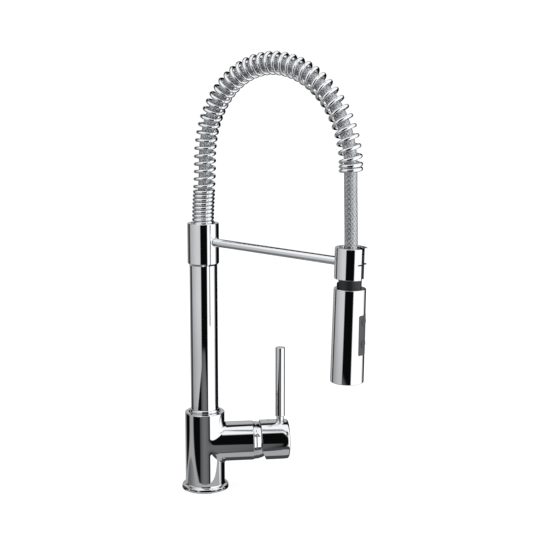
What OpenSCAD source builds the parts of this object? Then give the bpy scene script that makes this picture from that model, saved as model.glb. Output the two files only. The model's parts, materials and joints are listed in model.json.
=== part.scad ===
// Pull-down kitchen tap with a spring arch, a side lever and a docked spray head.
// Units are millimetres. The origin is the centre of the base on the worktop, +Z is up, and the
// arch, the support arm and the spray head lie in the XZ plane on the +X side.

/* [Base body] */
// Diameter of the foot flange on the worktop
flange_d = 52; // [48:0.5:60]
// Height of the foot flange
flange_h = 4.8; // [4:0.2:8]
// Diameter of the upright body
body_d = 43.8; // [43:0.1:50]
// Height of the upright body above the worktop
body_h = 85; // [80:1:110]
// Radius of the hollow fillet between the body and its flange
foot_fillet_r = 3.2; // [1:0.2:3.6]

/* [Side boss and handle] */
// Direction of the side boss, counted from the support arm
boss_az = 44.5; // [0:0.5:180]
// Height of the boss axis above the worktop
boss_z = 51.4; // [46:0.2:56]
// Diameter of the side boss
boss_d = 43.7; // [43:0.1:46]
// Distance from the column axis to the end of the boss
boss_len = 53.2; // [52:0.2:60]
// Radius of the fillet where the boss leaves the body
boss_fillet_r = 2.4; // [1:0.2:4]
// Width of the plain ring between the boss and the dome
shroud_ring_w = 3.4; // [2.6:0.1:5]
// Diameter of the handle hub
hub_d = 44.6; // [44.4:0.1:48]
// Length of the handle hub
hub_len = 32.2; // [28:0.2:40]
// Gap along the axis from the lever pivot to the rim of the hub
hub_rim_gap = 5.2; // [4:0.1:7]
// Distance from the lever pivot to the lever rod
lever_from_pivot = 27.9; // [25:0.1:32]
// Diameter of the lever rod
lever_d = 10.6; // [8:0.1:12]
// Height of the top of the lever rod above the boss axis
lever_top = 105.9; // [70:0.5:140]
// Diameter of the narrow neck of the lever rod
lever_neck_d = 8.2; // [6:0.1:9]
// Length of the narrow neck of the lever rod
lever_neck_len = 4.2; // [2:0.1:8]
// Largest lift of the lever away from the column, in degrees
lift_angle = 25; // [10:1:26]

/* [Riser] */
// Diameter of the riser tube
riser_d = 30.3; // [28:0.1:31]
// Wall of the riser tube
riser_wall = 1.5; // [1:0.1:2.5]
// Diameter of the bead at the foot of the riser
swivel_ring_d = 33.2; // [32:0.1:34]
// Diameter of the upper sleeve
sleeve_d = 34.4; // [33:0.1:40]
// Height of the lower edge of the upper sleeve
sleeve_z = 252; // [200:1:300]
// Length of the upper sleeve
sleeve_len = 46; // [40:0.5:70]

/* [Spring arch] */
// Outer diameter of the spring
spring_d = 24.3; // [22:0.1:25]
// Diameter of the spring wire
wire_d = 3.9; // [3:0.1:4.2]
// Pitch of the touching turns at both ends
closed_pitch = 4.27; // [4.2:0.01:5]
// Pitch of the open turns where the arch rises
rise_pitch = 8.2; // [6:0.1:12]
// Pitch of the open turns where the arch falls
fall_pitch = 9.5; // [6:0.1:12]
// Length of close turns above the sleeve
closed_foot = 36; // [10:1:60]
// Length of close turns at the free end
closed_end = 11; // [4:0.5:20]
// Half of the width of the arch
arch_half = 93; // [80:0.5:120]
// Height of the top of the arch above its springing
arch_rise = 102.5; // [80:0.5:130]
// Height of the springing of the arch
arch_z = 366; // [340:1:400]
// Sideways lean of the rising leg
arch_lean = 3.5; // [0:0.1:6]
// How far the top of the arch leans back towards the column
arch_skew = 2; // [0:0.1:5]
// Height of the free end of the spring
spring_end_z = 361; // [350:0.5:365]

/* [Hose] */
// Outer diameter of the braided hose
hose_d = 13.4; // [10:0.1:13.6]

/* [Support arm and holder] */
// Diameter of the support arm
arm_d = 9; // [6:0.1:10]
// Height of the arm axis on the column axis
arm_z = 278.3; // [275:0.1:281]
// Downward slope of the arm, in degrees
arm_droop = 1.65; // [0:0.05:3]
// Outer diameter of the holder
holder_d = 32.6; // [30:0.1:38]
// Bore of the holder
holder_bore = 22; // [20:0.1:24]
// Height of the holder along its axis
holder_h = 31.4; // [26:0.2:40]
// Width of the upright slot in the holder
holder_slot_w = 9.3; // [6:0.1:12]
// Thickness of the saw cut across the slot
holder_cut_h = 1.3; // [0.8:0.1:2.5]
// Depth of the saw cut below the outside of the holder
holder_cut_depth = 4; // [1:0.1:4.6]

/* [Spray head] */
// Distance from the column to the middle of the holder's top
head_x = 191; // [185:0.5:215]
// Height of the holder's top
head_z = 288.4; // [285:0.1:292]
// Lean of the spray head, in degrees
head_tilt = 1.5; // [0:0.1:3]
// Diameter of the black collar below the holder
collar_d = 23.4; // [23:0.1:27]
// Visible length of the black collar
collar_len = 8.4; // [5:0.1:15]
// Diameter of the spray shell at the top
shell_top_d = 32.5; // [31:0.1:36]
// Diameter of the spray shell at the bottom
shell_bottom_d = 34.2; // [32:0.1:38]
// Length of the spray shell
shell_len = 97.3; // [90:0.5:120]
// Wall of the spray shell
shell_wall = 1.5; // [1:0.1:2]
// Direction of the buttons around the head, in degrees
button_az = 8; // [-20:1:20]
// Width of the button panel
panel_w = 15; // [13:0.1:17]
// Height of the button panel
panel_h = 40.8; // [38:0.2:46]
// Distance from the top of the shell to the top of the panel
panel_from_top = 26.7; // [20:0.1:30]
// Diameter of each push button
button_d = 9; // [7:0.1:10]
// Distance from the top of the panel to the upper button
button_1 = 6.7; // [6:0.1:9]
// Distance from the top of the panel to the lower button
button_2 = 29.4; // [24:0.1:31]
// Travel of each push button
button_travel = 1.2; // [0.6:0.1:1.5]

/* [Hidden] */
$fn = 96;

// Clearances
run_gap = 0.05;      // running fit of a turning or sliding pair, on the radius
push_gap = 0.1;      // loose sliding fit, on the radius
seat_gap = 0.1;      // between pieces that seat on each other
free_gap = 0.4;      // between pieces that move past each other
eps = 0.01;
cut = 1;             // how far a cutter runs past a face

// Finish colours
chrome = [0.82, 0.84, 0.86];
brass = [0.78, 0.66, 0.38];
steel = [0.62, 0.64, 0.66];
black = [0.1, 0.1, 0.11];
slate = [0.33, 0.35, 0.37];
ceramic = [0.93, 0.92, 0.88];
nylon = [0.9, 0.9, 0.86];

// Points of an arc about (x, y) from angle a to angle b
function arc(x, y, r, a, b, n = 8) =
    [for (i = [0:n]) [x + r * cos(a + (b - a) * i / n), y + r * sin(a + (b - a) * i / n)]];

// A ring with square edges
module ring(r_in, r_out, z, h) {
    translate([0, 0, z])
        difference() {
            cylinder(r = r_out, h = h);
            translate([0, 0, -cut]) cylinder(r = r_in, h = h + 2 * cut);
        }
}

// A rod with both end edges rounded
module soft_rod(r, z, h, soft) {
    rotate_extrude()
        polygon(concat(
            [[0, z]],
            arc(r - soft, z + soft, soft, -90, 0, 5),
            arc(r - soft, z + h - soft, soft, 0, 90, 5),
            [[0, z + h]]));
}

// A tube through a list of rings, with a flat cap at each end
module tube(rings) {
    n = len(rings[0]);
    last = (len(rings) - 1) * n;
    polyhedron(
        points = [for (r = rings) each r],
        faces = concat(
            [for (i = [1:n - 2]) [0, i, i + 1]],
            [for (k = [0:len(rings) - 2], i = [0:n - 1])
                let (a = k * n + i, b = k * n + (i + 1) % n)
                    each [[a, a + n, b], [b, a + n, b + n]]],
            [for (i = [1:n - 2]) [last, last + i + 1, last + i]]),
        convexity = 10);
}

// A rectangle with round corners, centred
module soft_plate(w, h, r) {
    square([w - 2 * r, h], center = true);
    square([w, h - 2 * r], center = true);
    for (x = [-1, 1], y = [-1, 1]) translate([x * (w / 2 - r), y * (h / 2 - r)]) circle(r = r);
}

// Frames
// Along the boss: local z runs outwards on the boss axis and local -x points up
module at_boss() {
    rotate([0, 0, boss_az]) translate([0, 0, boss_z]) rotate([0, 90, 0]) children();
}
// On the spray head: local z runs up the head, with zero at the top of the holder
module at_head() {
    translate([head_x, 0, head_z]) rotate([0, head_tilt, 0]) children();
}
// Facing a button on the head: local z runs outwards, local x down the head
module at_button(z) {
    at_head() translate([0, 0, z]) rotate([0, 0, button_az]) rotate([0, 90, 0]) children();
}

// Base body

bore_top_r = 17.1;            // bore that takes the riser bushes
riser_bore_z = 62;            // floor of that bore
hose_way_r = 8;               // passage of the hose through the body
hollow_r = 17.5;              // hollow underside of the body
hollow_h = 13;
top_chamfer = 1;
foot_soft = 1.4;
gasket_r_in = flange_d / 2 - 4.2;
gasket_r_out = flange_d / 2 - 1.6;
gasket_h = 2.4;
cartridge_from = body_d / 2 - 0.6;   // floor of the cartridge bore, from the column axis
cartridge_r = 17.9;
nut_r = boss_d / 2 - 2.2;            // thread of the cartridge nut and of the dome shroud
nut_from = boss_len - 11.3;
way_r = 3.1;                         // water ways through the body
way_pitch_r = 13.4;
way_spread = 35;                     // the two inlets lie this far either side of the boss
inlet_up = 2;                        // the inlet ports lie this far above the boss axis
outlet_down = 4.5;                   // and the outlet port this far below it
thread_r = 3.5;                      // tapping holes for the supply tails and the spray hose
thread_depth = 12;
stud_r = 3.4;                        // tapping hole for the fixing stud
stud_depth = 22;
stud_pitch_r = 12.6;
retainer_z = riser_bore_z + 8;       // screw that keeps the riser in the body
retainer_r = 2.5;

module foot_profile() {
    r = body_d / 2;
    rotate_extrude()
        polygon(concat(
            [[0, 0], [flange_d / 2 - 0.7, 0], [flange_d / 2 - 0.7, 1.1], [flange_d / 2, 1.4]],
            arc(flange_d / 2 - foot_soft, flange_h - foot_soft, foot_soft, 0, 90, 6),
            arc(r + foot_fillet_r, flange_h + foot_fillet_r, foot_fillet_r, 270, 180, 8),
            [[0, flange_h + foot_fillet_r]]));
}

module body_upright() {
    r = body_d / 2;
    rotate_extrude()
        polygon([[0, flange_h], [r, flange_h], [r, body_h - top_chamfer],
                 [r - top_chamfer, body_h], [0, body_h]]);
}

// Concave fillet where the boss leaves the body, above and below: a ball of the fillet's radius
// rolls along both cylinders, and each ring is the corner that the ball leaves unreached. It is
// sunk a little into both, and ends where the cylinders are nearly level with each other.
module boss_fillet() {
    f = boss_fillet_r;
    sunk = 0.06;
    from_body = body_d / 2 + f - sunk;
    from_boss = min(boss_d, body_d - 0.1) / 2 + f - sunk;
    end = 63;
    steps = 16;
    for (start = [0, 180])
        rotate([0, 0, boss_az]) translate([0, 0, boss_z])
            tube([for (i = [0:steps])
                let (
                    w = start - end + 2 * end * i / steps,
                    y = from_boss * sin(w),
                    up = from_boss * cos(w),
                    d = sqrt(from_body * from_body - y * y),
                    ball = [d, y, up],
                    to_body = [-d, -y, 0] / from_body,
                    to_boss = [0, -y, -up] / from_boss,
                    middle = (to_body + to_boss) / norm(to_body + to_boss))
                concat(
                    [ball + 1.7 * f * middle, ball + (f + 0.8) * to_body],
                    [for (k = [0:4])
                        let (v = to_body * (4 - k) + to_boss * k) ball + f * v / norm(v)],
                    [ball + (f + 0.8) * to_boss])]);
}

module water_ways() {
    side_y = way_pitch_r * sin(way_spread);
    side_d = way_pitch_r * cos(way_spread);
    for (side = [-1, 1]) {
        rotate([0, 0, boss_az]) translate([side_d, side * side_y, hollow_h - cut]) {
            cylinder(r = way_r, h = boss_z + inlet_up - hollow_h + cut);
            cylinder(r = thread_r, h = thread_depth + cut);
        }
        at_boss() translate([-inlet_up, side * side_y, side_d])
            cylinder(r = way_r, h = cartridge_from - side_d + cut);
    }
    rotate([0, 0, boss_az]) translate([way_pitch_r, 0, hollow_h - cut]) {
        cylinder(r = way_r, h = boss_z - outlet_down - hollow_h + cut);
        cylinder(r = thread_r, h = thread_depth + cut);
    }
    at_boss() translate([outlet_down, 0, way_pitch_r])
        cylinder(r = way_r, h = cartridge_from - way_pitch_r + cut);
}

module valve_body() {
    color(chrome)
        difference() {
            union() {
                foot_profile();
                body_upright();
                at_boss() cylinder(r = boss_d / 2, h = boss_len);
                boss_fillet();
            }
            translate([0, 0, riser_bore_z]) cylinder(r = bore_top_r, h = body_h);
            translate([0, 0, -cut]) cylinder(r = hose_way_r, h = body_h);
            translate([0, 0, -cut]) cylinder(r = hollow_r, h = hollow_h + cut);
            ring(gasket_r_in - seat_gap, gasket_r_out + seat_gap, -cut, gasket_h + seat_gap + cut);
            at_boss() {
                translate([0, 0, cartridge_from])
                    cylinder(r = cartridge_r + seat_gap, h = boss_len);
                translate([0, 0, nut_from]) cylinder(r = nut_r + seat_gap, h = boss_len);
            }
            water_ways();
            rotate([0, 0, boss_az + 180]) translate([stud_pitch_r, 0, hollow_h - cut])
                cylinder(r = stud_r, h = stud_depth + cut);
            translate([0, 0, retainer_z]) rotate([0, -90, 0])
                cylinder(r = retainer_r, h = body_d);
        }
}

module base_gasket() {
    color(black) ring(gasket_r_in, gasket_r_out, 0, gasket_h);
}

// Bushes of the riser

washer_h = 1;
bush_r_in = riser_d / 2 + run_gap;
bush_r_out = bore_top_r - seat_gap;
bush_lower_h = 4.5;
bush_upper_z = retainer_z + 4.5;
bush_upper_h = body_h - 1.2 - bush_upper_z;
riser_foot_z = riser_bore_z + washer_h + 0.2;
groove_depth = 0.9;
groove_h = 3.4;
dog_r = 1.3;

module thrust_washer() {
    color(nylon) ring(riser_d / 2 - riser_wall, bush_r_out, riser_bore_z, washer_h);
}

module riser_bush_lower() {
    color(nylon) ring(bush_r_in, bush_r_out, riser_bore_z + washer_h, bush_lower_h);
}

module riser_bush_upper() {
    color(nylon) ring(bush_r_in, bush_r_out, bush_upper_z, bush_upper_h);
}

module riser_retaining_screw() {
    dog_from = riser_d / 2 - groove_depth + 0.3;
    shank_from = riser_d / 2 + 0.5;
    shank_to = body_d / 2 - 1.2;
    color(steel)
        translate([0, 0, retainer_z]) rotate([0, -90, 0])
            difference() {
                union() {
                    translate([0, 0, dog_from]) cylinder(r = dog_r, h = shank_to - dog_from);
                    translate([0, 0, shank_from])
                        cylinder(r = retainer_r - seat_gap, h = shank_to - shank_from);
                }
                translate([0, 0, shank_to - 2.5]) cylinder(r = 1.45, h = 2.5 + cut, $fn = 6);
            }
}

// Mixing cartridge, drawn along the boss

pivot = boss_len + shroud_ring_w;           // lever pivot, on the boss axis
housing_floor = 2.4;
disc_from = cartridge_from + housing_floor;
disc_h = 4;
disc_room_r = 15.5;
carrier_from = disc_from + disc_h + 0.15;
carrier_r = 11.4;
carrier_plate_h = 8;
carrier_tower_r = 7.5;
carrier_drop = 2.4;                         // the carrier starts this far below the axis
rotor_r = 11;
rotor_from = pivot - 12;
rotor_to = pivot + 5.4;
rotor_flange_r = 12.8;
rotor_flange_h = 1.6;
rotor_room_r = rotor_flange_r + 0.2;
neck_from = rotor_from + rotor_flange_h + 0.1;
neck_to = pivot - 3;
neck_r = 14;
shoulder_to = nut_from + 2;
port_r = 2.4;
seal_r_in = 3.1;
seal_r_out = 4.2;
seal_h = 1.1;
stem_w = 7;
slot_half = stem_w / 2 + free_gap;
slot_up = 9;
slot_down = 7.4;
stem_to = pivot + 31;
stem_root = 11;                             // the square of the stem starts this far below the pivot
tail_len = 15;                              // from the pivot to the ball on the stem's tail
pocket_r = 9.6;                             // half-moon pocket in the moving disc
tail_r = 1.8;
ball_r = 3;
pin_r = 1.5;
nut_h = 5.6;

// Copies of the children at the three ports
module at_ports() {
    side_y = way_pitch_r * sin(way_spread);
    for (side = [-1, 1]) translate([-inlet_up, side * side_y, 0]) children();
    translate([outlet_down, 0, 0]) children();
}

module cartridge_housing() {
    color(nylon)
        at_boss()
            difference() {
                union() {
                    translate([0, 0, cartridge_from + seat_gap])
                        cylinder(r = cartridge_r, h = shoulder_to - cartridge_from - seat_gap);
                    translate([0, 0, nut_from]) cylinder(r = neck_r, h = neck_to - nut_from);
                }
                translate([0, 0, disc_from])
                    cylinder(r = disc_room_r, h = carrier_from + carrier_plate_h + 1 - disc_from);
                translate([0, 0, disc_from]) cylinder(r = rotor_room_r, h = neck_from - disc_from);
                translate([0, 0, disc_from]) cylinder(r = rotor_r + run_gap, h = pivot);
                at_ports() translate([0, 0, cartridge_from - cut])
                    cylinder(r = port_r, h = housing_floor + 2 * cut);
                at_ports() ring(seal_r_in - seat_gap, seal_r_out + seat_gap, cartridge_from - cut,
                                seal_h + seat_gap + cut);
            }
}

module cartridge_seals() {
    color(black) at_boss() at_ports() ring(seal_r_in, seal_r_out, cartridge_from, seal_h);
}

module ceramic_disc_fixed() {
    color(ceramic)
        at_boss()
            difference() {
                translate([0, 0, disc_from]) cylinder(r = disc_room_r - seat_gap, h = disc_h);
                at_ports() translate([0, 0, disc_from - cut])
                    cylinder(r = port_r, h = disc_h + 2 * cut);
            }
}

module cartridge_nut() {
    color(brass)
        at_boss()
            difference() {
                ring(neck_r + 0.2, nut_r, shoulder_to + 0.05, nut_h);
                for (turn = [0, 90, 180, 270])
                    rotate([0, 0, turn + 45]) translate([nut_r - 3, 0, shoulder_to + nut_h - 1.5])
                        cylinder(r = 1.2, h = 3);
            }
}

// The shroud screws into the boss over the nut; its dome is a ball round the lever pivot
dome_r = boss_d / 2 - 0.7;
dome_wall = 1.2;
dome_mouth_r = 14.2;
shroud_groove = 0.4;

module dome_shroud() {
    skirt_from = shoulder_to + nut_h + 0.3;
    inner_r = dome_r - dome_wall;
    mouth = acos(dome_mouth_r / dome_r);
    mouth_in = acos(dome_mouth_r / inner_r);
    color(chrome)
        at_boss()
            rotate_extrude()
                polygon(concat(
                    [[nut_r - 2, skirt_from], [nut_r, skirt_from], [nut_r, boss_len + 0.05],
                     [dome_r, boss_len + 0.05], [dome_r, pivot - shroud_groove],
                     [dome_r - shroud_groove, pivot]],
                    [for (p = arc(0, pivot, dome_r, 3, mouth, 14)) p],
                    [for (p = arc(0, pivot, inner_r, mouth_in, 0, 12)) p],
                    [[nut_r - 2, pivot - 1.6]]));
}

// The rotor turns in the cartridge and carries the lever's pin
module cartridge_rotor() {
    color(nylon)
        at_boss()
            difference() {
                union() {
                    translate([0, 0, rotor_from]) cylinder(r = rotor_r, h = rotor_to - rotor_from);
                    translate([0, 0, rotor_from]) cylinder(r = rotor_flange_r, h = rotor_flange_h);
                }
                // room for the stem, which swings down outside the pivot and up inside it
                translate([-slot_up, -slot_half, rotor_from - cut])
                    cube([slot_up + slot_half, 2 * slot_half, pivot + 0.4 - rotor_from + cut]);
                translate([-slot_half, -slot_half, pivot - 0.6])
                    cube([slot_half + slot_down, 2 * slot_half, rotor_to]);
                translate([0, 0, pivot]) rotate([90, 0, 0])
                    cylinder(r = pin_r + 0.02, h = 3 * rotor_r, center = true);
            }
}

module stem_pin() {
    color(steel)
        at_boss() translate([0, 0, pivot]) rotate([90, 0, 0])
            cylinder(r = pin_r, h = 2 * rotor_r - 1.2, center = true);
}

module ceramic_disc_moving() {
    color(ceramic)
        at_boss()
            translate([carrier_drop, 0, 0])
                difference() {
                    union() {
                        translate([0, 0, carrier_from]) cylinder(r = carrier_r, h = carrier_plate_h);
                        translate([0, 0, carrier_from])
                            cylinder(r = carrier_tower_r, h = rotor_from - 0.3 - carrier_from);
                    }
                    translate([-carrier_drop, 0, pivot - tail_len - ball_r - 0.6])
                        cylinder(r = ball_r + 0.3, h = pivot);
                    // the pocket that joins the inlets to the outlet when the disc is raised
                    intersection() {
                        translate([0, 0, carrier_from - cut]) cylinder(r = pocket_r, h = 3 + cut);
                        translate([-0.8, -carrier_r, carrier_from - cut])
                            cube([2 * carrier_r, 2 * carrier_r, 3 + cut]);
                    }
                }
}

module cartridge_stem() {
    color(brass)
        at_boss()
            difference() {
                union() {
                    translate([-stem_w / 2, -stem_w / 2, pivot - stem_root])
                        cube([stem_w, stem_w, stem_to - pivot + stem_root]);
                    translate([0, 0, pivot - tail_len]) cylinder(r = tail_r, h = tail_len);
                    translate([0, 0, pivot - tail_len]) sphere(r = ball_r);
                }
                translate([0, 0, pivot]) rotate([90, 0, 0])
                    cylinder(r = pin_r + run_gap, h = 2 * stem_w, center = true);
            }
}

// Handle

hub_from = pivot + hub_rim_gap;
hub_to = hub_from + hub_len;
hub_soft = 1.6;
hub_room_r = dome_r + free_gap;
hub_relief_from = 15.6;          // the relief starts this far below the boss axis
hub_relief_len = 9.3;            // and runs out this far along the hub
lever_at = pivot + lever_from_pivot;
spot_r = lever_neck_d / 2 + 0.5;
spot_up = hub_d / 2 - 0.7;       // flat seat of the lever rod
lever_stud_r = 2.9;
lever_stud_len = 9;
lever_soft = 1.2;
grub_r = 2.4;
grub_len = 10;
plug_r = 1.1;
plug_from_pivot = 14.7;
plug_h = 2;

module handle_hub() {
    r = hub_d / 2;
    color(chrome)
        at_boss()
            difference() {
                rotate_extrude()
                    polygon(concat(
                        [[0, hub_from], [r - 0.3, hub_from], [r, hub_from + 0.3]],
                        arc(r - hub_soft, hub_to - hub_soft, hub_soft, 0, 90, 6),
                        [[0, hub_to]]));
                translate([0, 0, pivot]) sphere(r = hub_room_r);
                // relief at the bottom, which lets the hub swing in under the boss
                rotate([90, 0, 0]) translate([0, 0, -r - cut]) linear_extrude(2 * (r + cut))
                    polygon([[hub_relief_from, hub_from],
                             [hub_relief_from + 2 * (r - hub_relief_from), hub_from + 2 * hub_relief_len],
                             [hub_relief_from + 2 * (r - hub_relief_from), pivot],
                             [hub_relief_from, pivot]]);
                translate([-stem_w / 2 - seat_gap, -stem_w / 2 - seat_gap, pivot])
                    cube([stem_w + 2 * seat_gap, stem_w + 2 * seat_gap, stem_to - pivot + 0.3]);
                translate([0, 0, lever_at]) rotate([0, -90, 0]) {
                    translate([0, 0, spot_up]) cylinder(r = spot_r, h = r);
                    translate([0, 0, spot_up - lever_stud_len - 0.3])
                        cylinder(r = lever_stud_r + seat_gap, h = r);
                }
                translate([0, 0, lever_at]) rotate([0, 90, 0])
                    translate([0, 0, stem_w / 2]) cylinder(r = grub_r + seat_gap, h = r);
                translate([0, 0, pivot + plug_from_pivot]) rotate([0, -90, 0])
                    translate([0, 0, r - plug_h - 0.3]) cylinder(r = plug_r + 0.05, h = plug_h + cut);
            }
}

module lever_rod() {
    neck_from_up = spot_up + 0.05;
    rod_from = hub_d / 2 + lever_neck_len;
    color(chrome)
        at_boss() translate([0, 0, lever_at]) rotate([0, -90, 0]) {
            translate([0, 0, spot_up - lever_stud_len]) cylinder(r = lever_stud_r, h = lever_stud_len + 1);
            translate([0, 0, neck_from_up]) cylinder(r = lever_neck_d / 2, h = rod_from + 1 - neck_from_up);
            soft_rod(lever_d / 2, rod_from, lever_top - rod_from, lever_soft);
        }
}

module handle_grub_screw() {
    color(steel)
        at_boss() translate([0, 0, lever_at]) rotate([0, 90, 0])
            difference() {
                translate([0, 0, stem_w / 2 + 0.05]) cylinder(r = grub_r, h = grub_len);
                translate([0, 0, stem_w / 2 + grub_len - 2.5]) cylinder(r = 1.45, h = 2.5 + cut, $fn = 6);
            }
}

module index_plug() {
    color(black)
        at_boss() translate([0, 0, pivot + plug_from_pivot]) rotate([0, -90, 0])
            translate([0, 0, hub_d / 2 - plug_h - 0.2]) cylinder(r = plug_r, h = plug_h);
}

// Riser

sleeve_top = sleeve_z + sleeve_len;
spring_room = 8;                        // depth of the spring's seat in the sleeve
spring_room_r = spring_d / 2 + 0.95;
spring_seat_z = sleeve_top - spring_room;
riser_seat_z = sleeve_z + 18;
ring_z = body_h - 0.5;
ring_h = 4.6;

module riser_tube() {
    r = riser_d / 2;
    color(chrome)
        difference() {
            ring(r - riser_wall, r, riser_foot_z, riser_seat_z - 0.1 - riser_foot_z);
            ring(r - groove_depth, r + cut, retainer_z - groove_h / 2, groove_h);
        }
}

module swivel_ring() {
    r_in = riser_d / 2;
    r_out = swivel_ring_d / 2;
    bulge = (r_out - r_in) * 0.9;
    color(chrome)
        rotate_extrude()
            polygon(concat(
                [[r_in, ring_z], [r_out - 0.3, ring_z], [r_out, ring_z + 0.3]],
                [for (p = arc(0, 0, 1, 0, 90, 8))
                    [r_out - bulge + bulge * p[0], ring_z + ring_h - 2.2 + 2.2 * p[1]]],
                [[r_in, ring_z + ring_h]]));
}

arm_from = hose_d / 2 + 2;
arm_wall = 1;                           // left between the arm's end and the holder's bore
arm_to = (head_x - tan(head_tilt) * holder_h / 2 - holder_bore / 2 - arm_wall) / cos(arm_droop);

// Along the arm: local z runs from the column towards the holder
module at_arm() {
    translate([0, 0, arm_z]) rotate([0, 90 + arm_droop, 0]) children();
}

module upper_sleeve() {
    r = sleeve_d / 2;
    color(chrome)
        difference() {
            rotate_extrude()
                polygon(concat(
                    [[0, sleeve_z], [r - 2, sleeve_z], [r, sleeve_z + 2.3]],
                    arc(r - 0.8, sleeve_top - 0.8, 0.8, 0, 90, 4),
                    [[0, sleeve_top]]));
            translate([0, 0, sleeve_z - cut])
                cylinder(r = riser_d / 2 + seat_gap, h = riser_seat_z - sleeve_z + cut);
            translate([0, 0, sleeve_z]) cylinder(r = hose_d / 2 + free_gap, h = sleeve_len);
            translate([0, 0, spring_seat_z]) cylinder(r = spring_room_r, h = spring_room + cut);
            at_arm() translate([0, 0, arm_from - 0.3]) cylinder(r = arm_d / 2 + seat_gap, h = r);
            at_arm() translate([0, 0, r - 0.8]) cylinder(r = arm_d / 2 + 0.7, h = r);
            translate([0, 0, sleeve_z + 9]) rotate([0, -90, 0]) cylinder(r = 2.1, h = r + cut);
        }
}

module sleeve_grub_screw() {
    from = riser_d / 2 + 0.05;
    to = sleeve_d / 2 - 0.2;
    color(steel)
        translate([0, 0, sleeve_z + 9]) rotate([0, -90, 0])
            difference() {
                translate([0, 0, from]) cylinder(r = 2, h = to - from);
                translate([0, 0, to - 1.2]) cylinder(r = 1.15, h = 1.2 + cut, $fn = 6);
            }
}

module support_arm() {
    color(chrome) at_arm() translate([0, 0, arm_from]) cylinder(r = arm_d / 2, h = arm_to - arm_from);
}

// Centre line of the arch, as points [x, z]: up out of the sleeve, an easy lean, half an
// ellipse, and straight down at the free end

lean_z = sleeve_top;
arch_foot = spring_seat_z + 0.3;
arch_line = concat(
    [[0, arch_foot]],
    [for (i = [0:16]) let (u = i / 16)
        [arch_lean * u * u * (3 - 2 * u), lean_z + (arch_z - lean_z) * u]],
    [for (i = [1:72]) let (up = sin(2.5 * i))
        [arch_lean + arch_half * (1 - cos(2.5 * i)) - arch_skew * up * up, arch_z + arch_rise * up]],
    [for (i = [1:3])
        [arch_lean + 2 * arch_half, arch_z + (spring_end_z - arch_z) * i / 3]]);
arch_n = len(arch_line);
arch_s = [for (i = 0, s = 0; i < arch_n;
    s = s + (i + 1 < arch_n ? norm(arch_line[i + 1] - arch_line[i]) : 0), i = i + 1) s];
arch_len = arch_s[arch_n - 1];
arch_x_table = [for (i = [0:arch_n - 1]) [arch_s[i], arch_line[i][0]]];
arch_z_table = [for (i = [0:arch_n - 1]) [arch_s[i], arch_line[i][1]]];

function on_arch(s) = [lookup(s, arch_x_table), 0, lookup(s, arch_z_table)];
function along_arch(s) =
    let (a = on_arch(max(0, s - 2)), b = on_arch(min(arch_len, s + 2))) (b - a) / norm(b - a);

// Spring: close turns at the foot and at the free end, open turns between them

spring_close_from = spring_room - 0.3 + closed_foot;
spring_close_to = arch_len - closed_end;
function pitch_at(s) =
    s < spring_close_from ? closed_pitch
    : s > spring_close_to ? closed_pitch
    : let (u = (s - spring_close_from) / (spring_close_to - spring_close_from))
        rise_pitch + (fall_pitch - rise_pitch) * u * u * (3 - 2 * u);
turn_table = [for (i = 0, t = 0; i <= arch_len; t = t + 1 / pitch_at(i + 0.5), i = i + 1) [t, i]];
spring_turns = turn_table[len(turn_table) - 1][0];
spring_r = (spring_d - wire_d) / 2;
spring_steps = 8;                        // rings in a turn
wire_sides = 6;
spring_rings_n = floor((spring_turns - 1) * spring_steps);

function on_spring(k) =
    let (
        turn = k / spring_steps + 0.5,
        s = lookup(turn, turn_table),
        t = along_arch(s),
        n = [t[2], 0, -t[0]],
        a = 360 * turn)
    on_arch(s) + spring_r * (cos(a) * n + sin(a) * [0, 1, 0]);

function wire_ring(k, shift) =
    let (
        s = lookup(k / spring_steps + 0.5, turn_table),
        here = on_spring(k),
        go = (on_spring(k + 0.5) - on_spring(k - 0.5)),
        t = go / norm(go),
        out = here - on_arch(s),
        side = cross(t, out) / norm(cross(t, out)),
        up = cross(side, t))
    [for (i = [0:wire_sides - 1])
        let (a = 360 * i / wire_sides)
            here + shift * t + wire_d / 2 * (cos(a) * up - sin(a) * side)];

spring_rings = concat(
    [wire_ring(0, -wire_d)],
    [for (k = [0:spring_rings_n]) wire_ring(k, 0)],
    [wire_ring(spring_rings_n, wire_d)]);

// Least distance between a point of one turn and the points of the next
spring_gap = min([for (k = [0:3:len(spring_rings) - spring_steps - 2])
    min([for (j = [k + spring_steps - 1:k + spring_steps + 1], p = spring_rings[k], q = spring_rings[j])
        norm(p - q)])]);
echo(spring_turns = spring_rings_n / spring_steps, spring_gap = spring_gap);

module spring() {
    color(chrome) tube(spring_rings);
}

// Hose

hose_sides = 12;
function hose_ring(centre, t) =
    let (n = [t[2], 0, -t[0]])
    [for (i = [0:hose_sides - 1])
        let (a = 360 * i / hose_sides)
            centre + hose_d / 2 * (cos(a) * n - sin(a) * [0, 1, 0])];

module hose_riser() {
    color(steel) translate([0, 0, 0.5]) cylinder(r = hose_d / 2, h = spring_seat_z - 0.5);
}

module hose_arch() {
    steps = 26;
    top = on_arch(0);
    color(steel)
        tube(concat(
            [hose_ring([0, 0, spring_seat_z + eps], [0, 0, 1])],
            [for (i = [1:steps]) hose_ring(on_arch(arch_len * i / steps), along_arch(arch_len * i / steps))]));
}

// Holder

holder_soft = 0.6;

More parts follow.
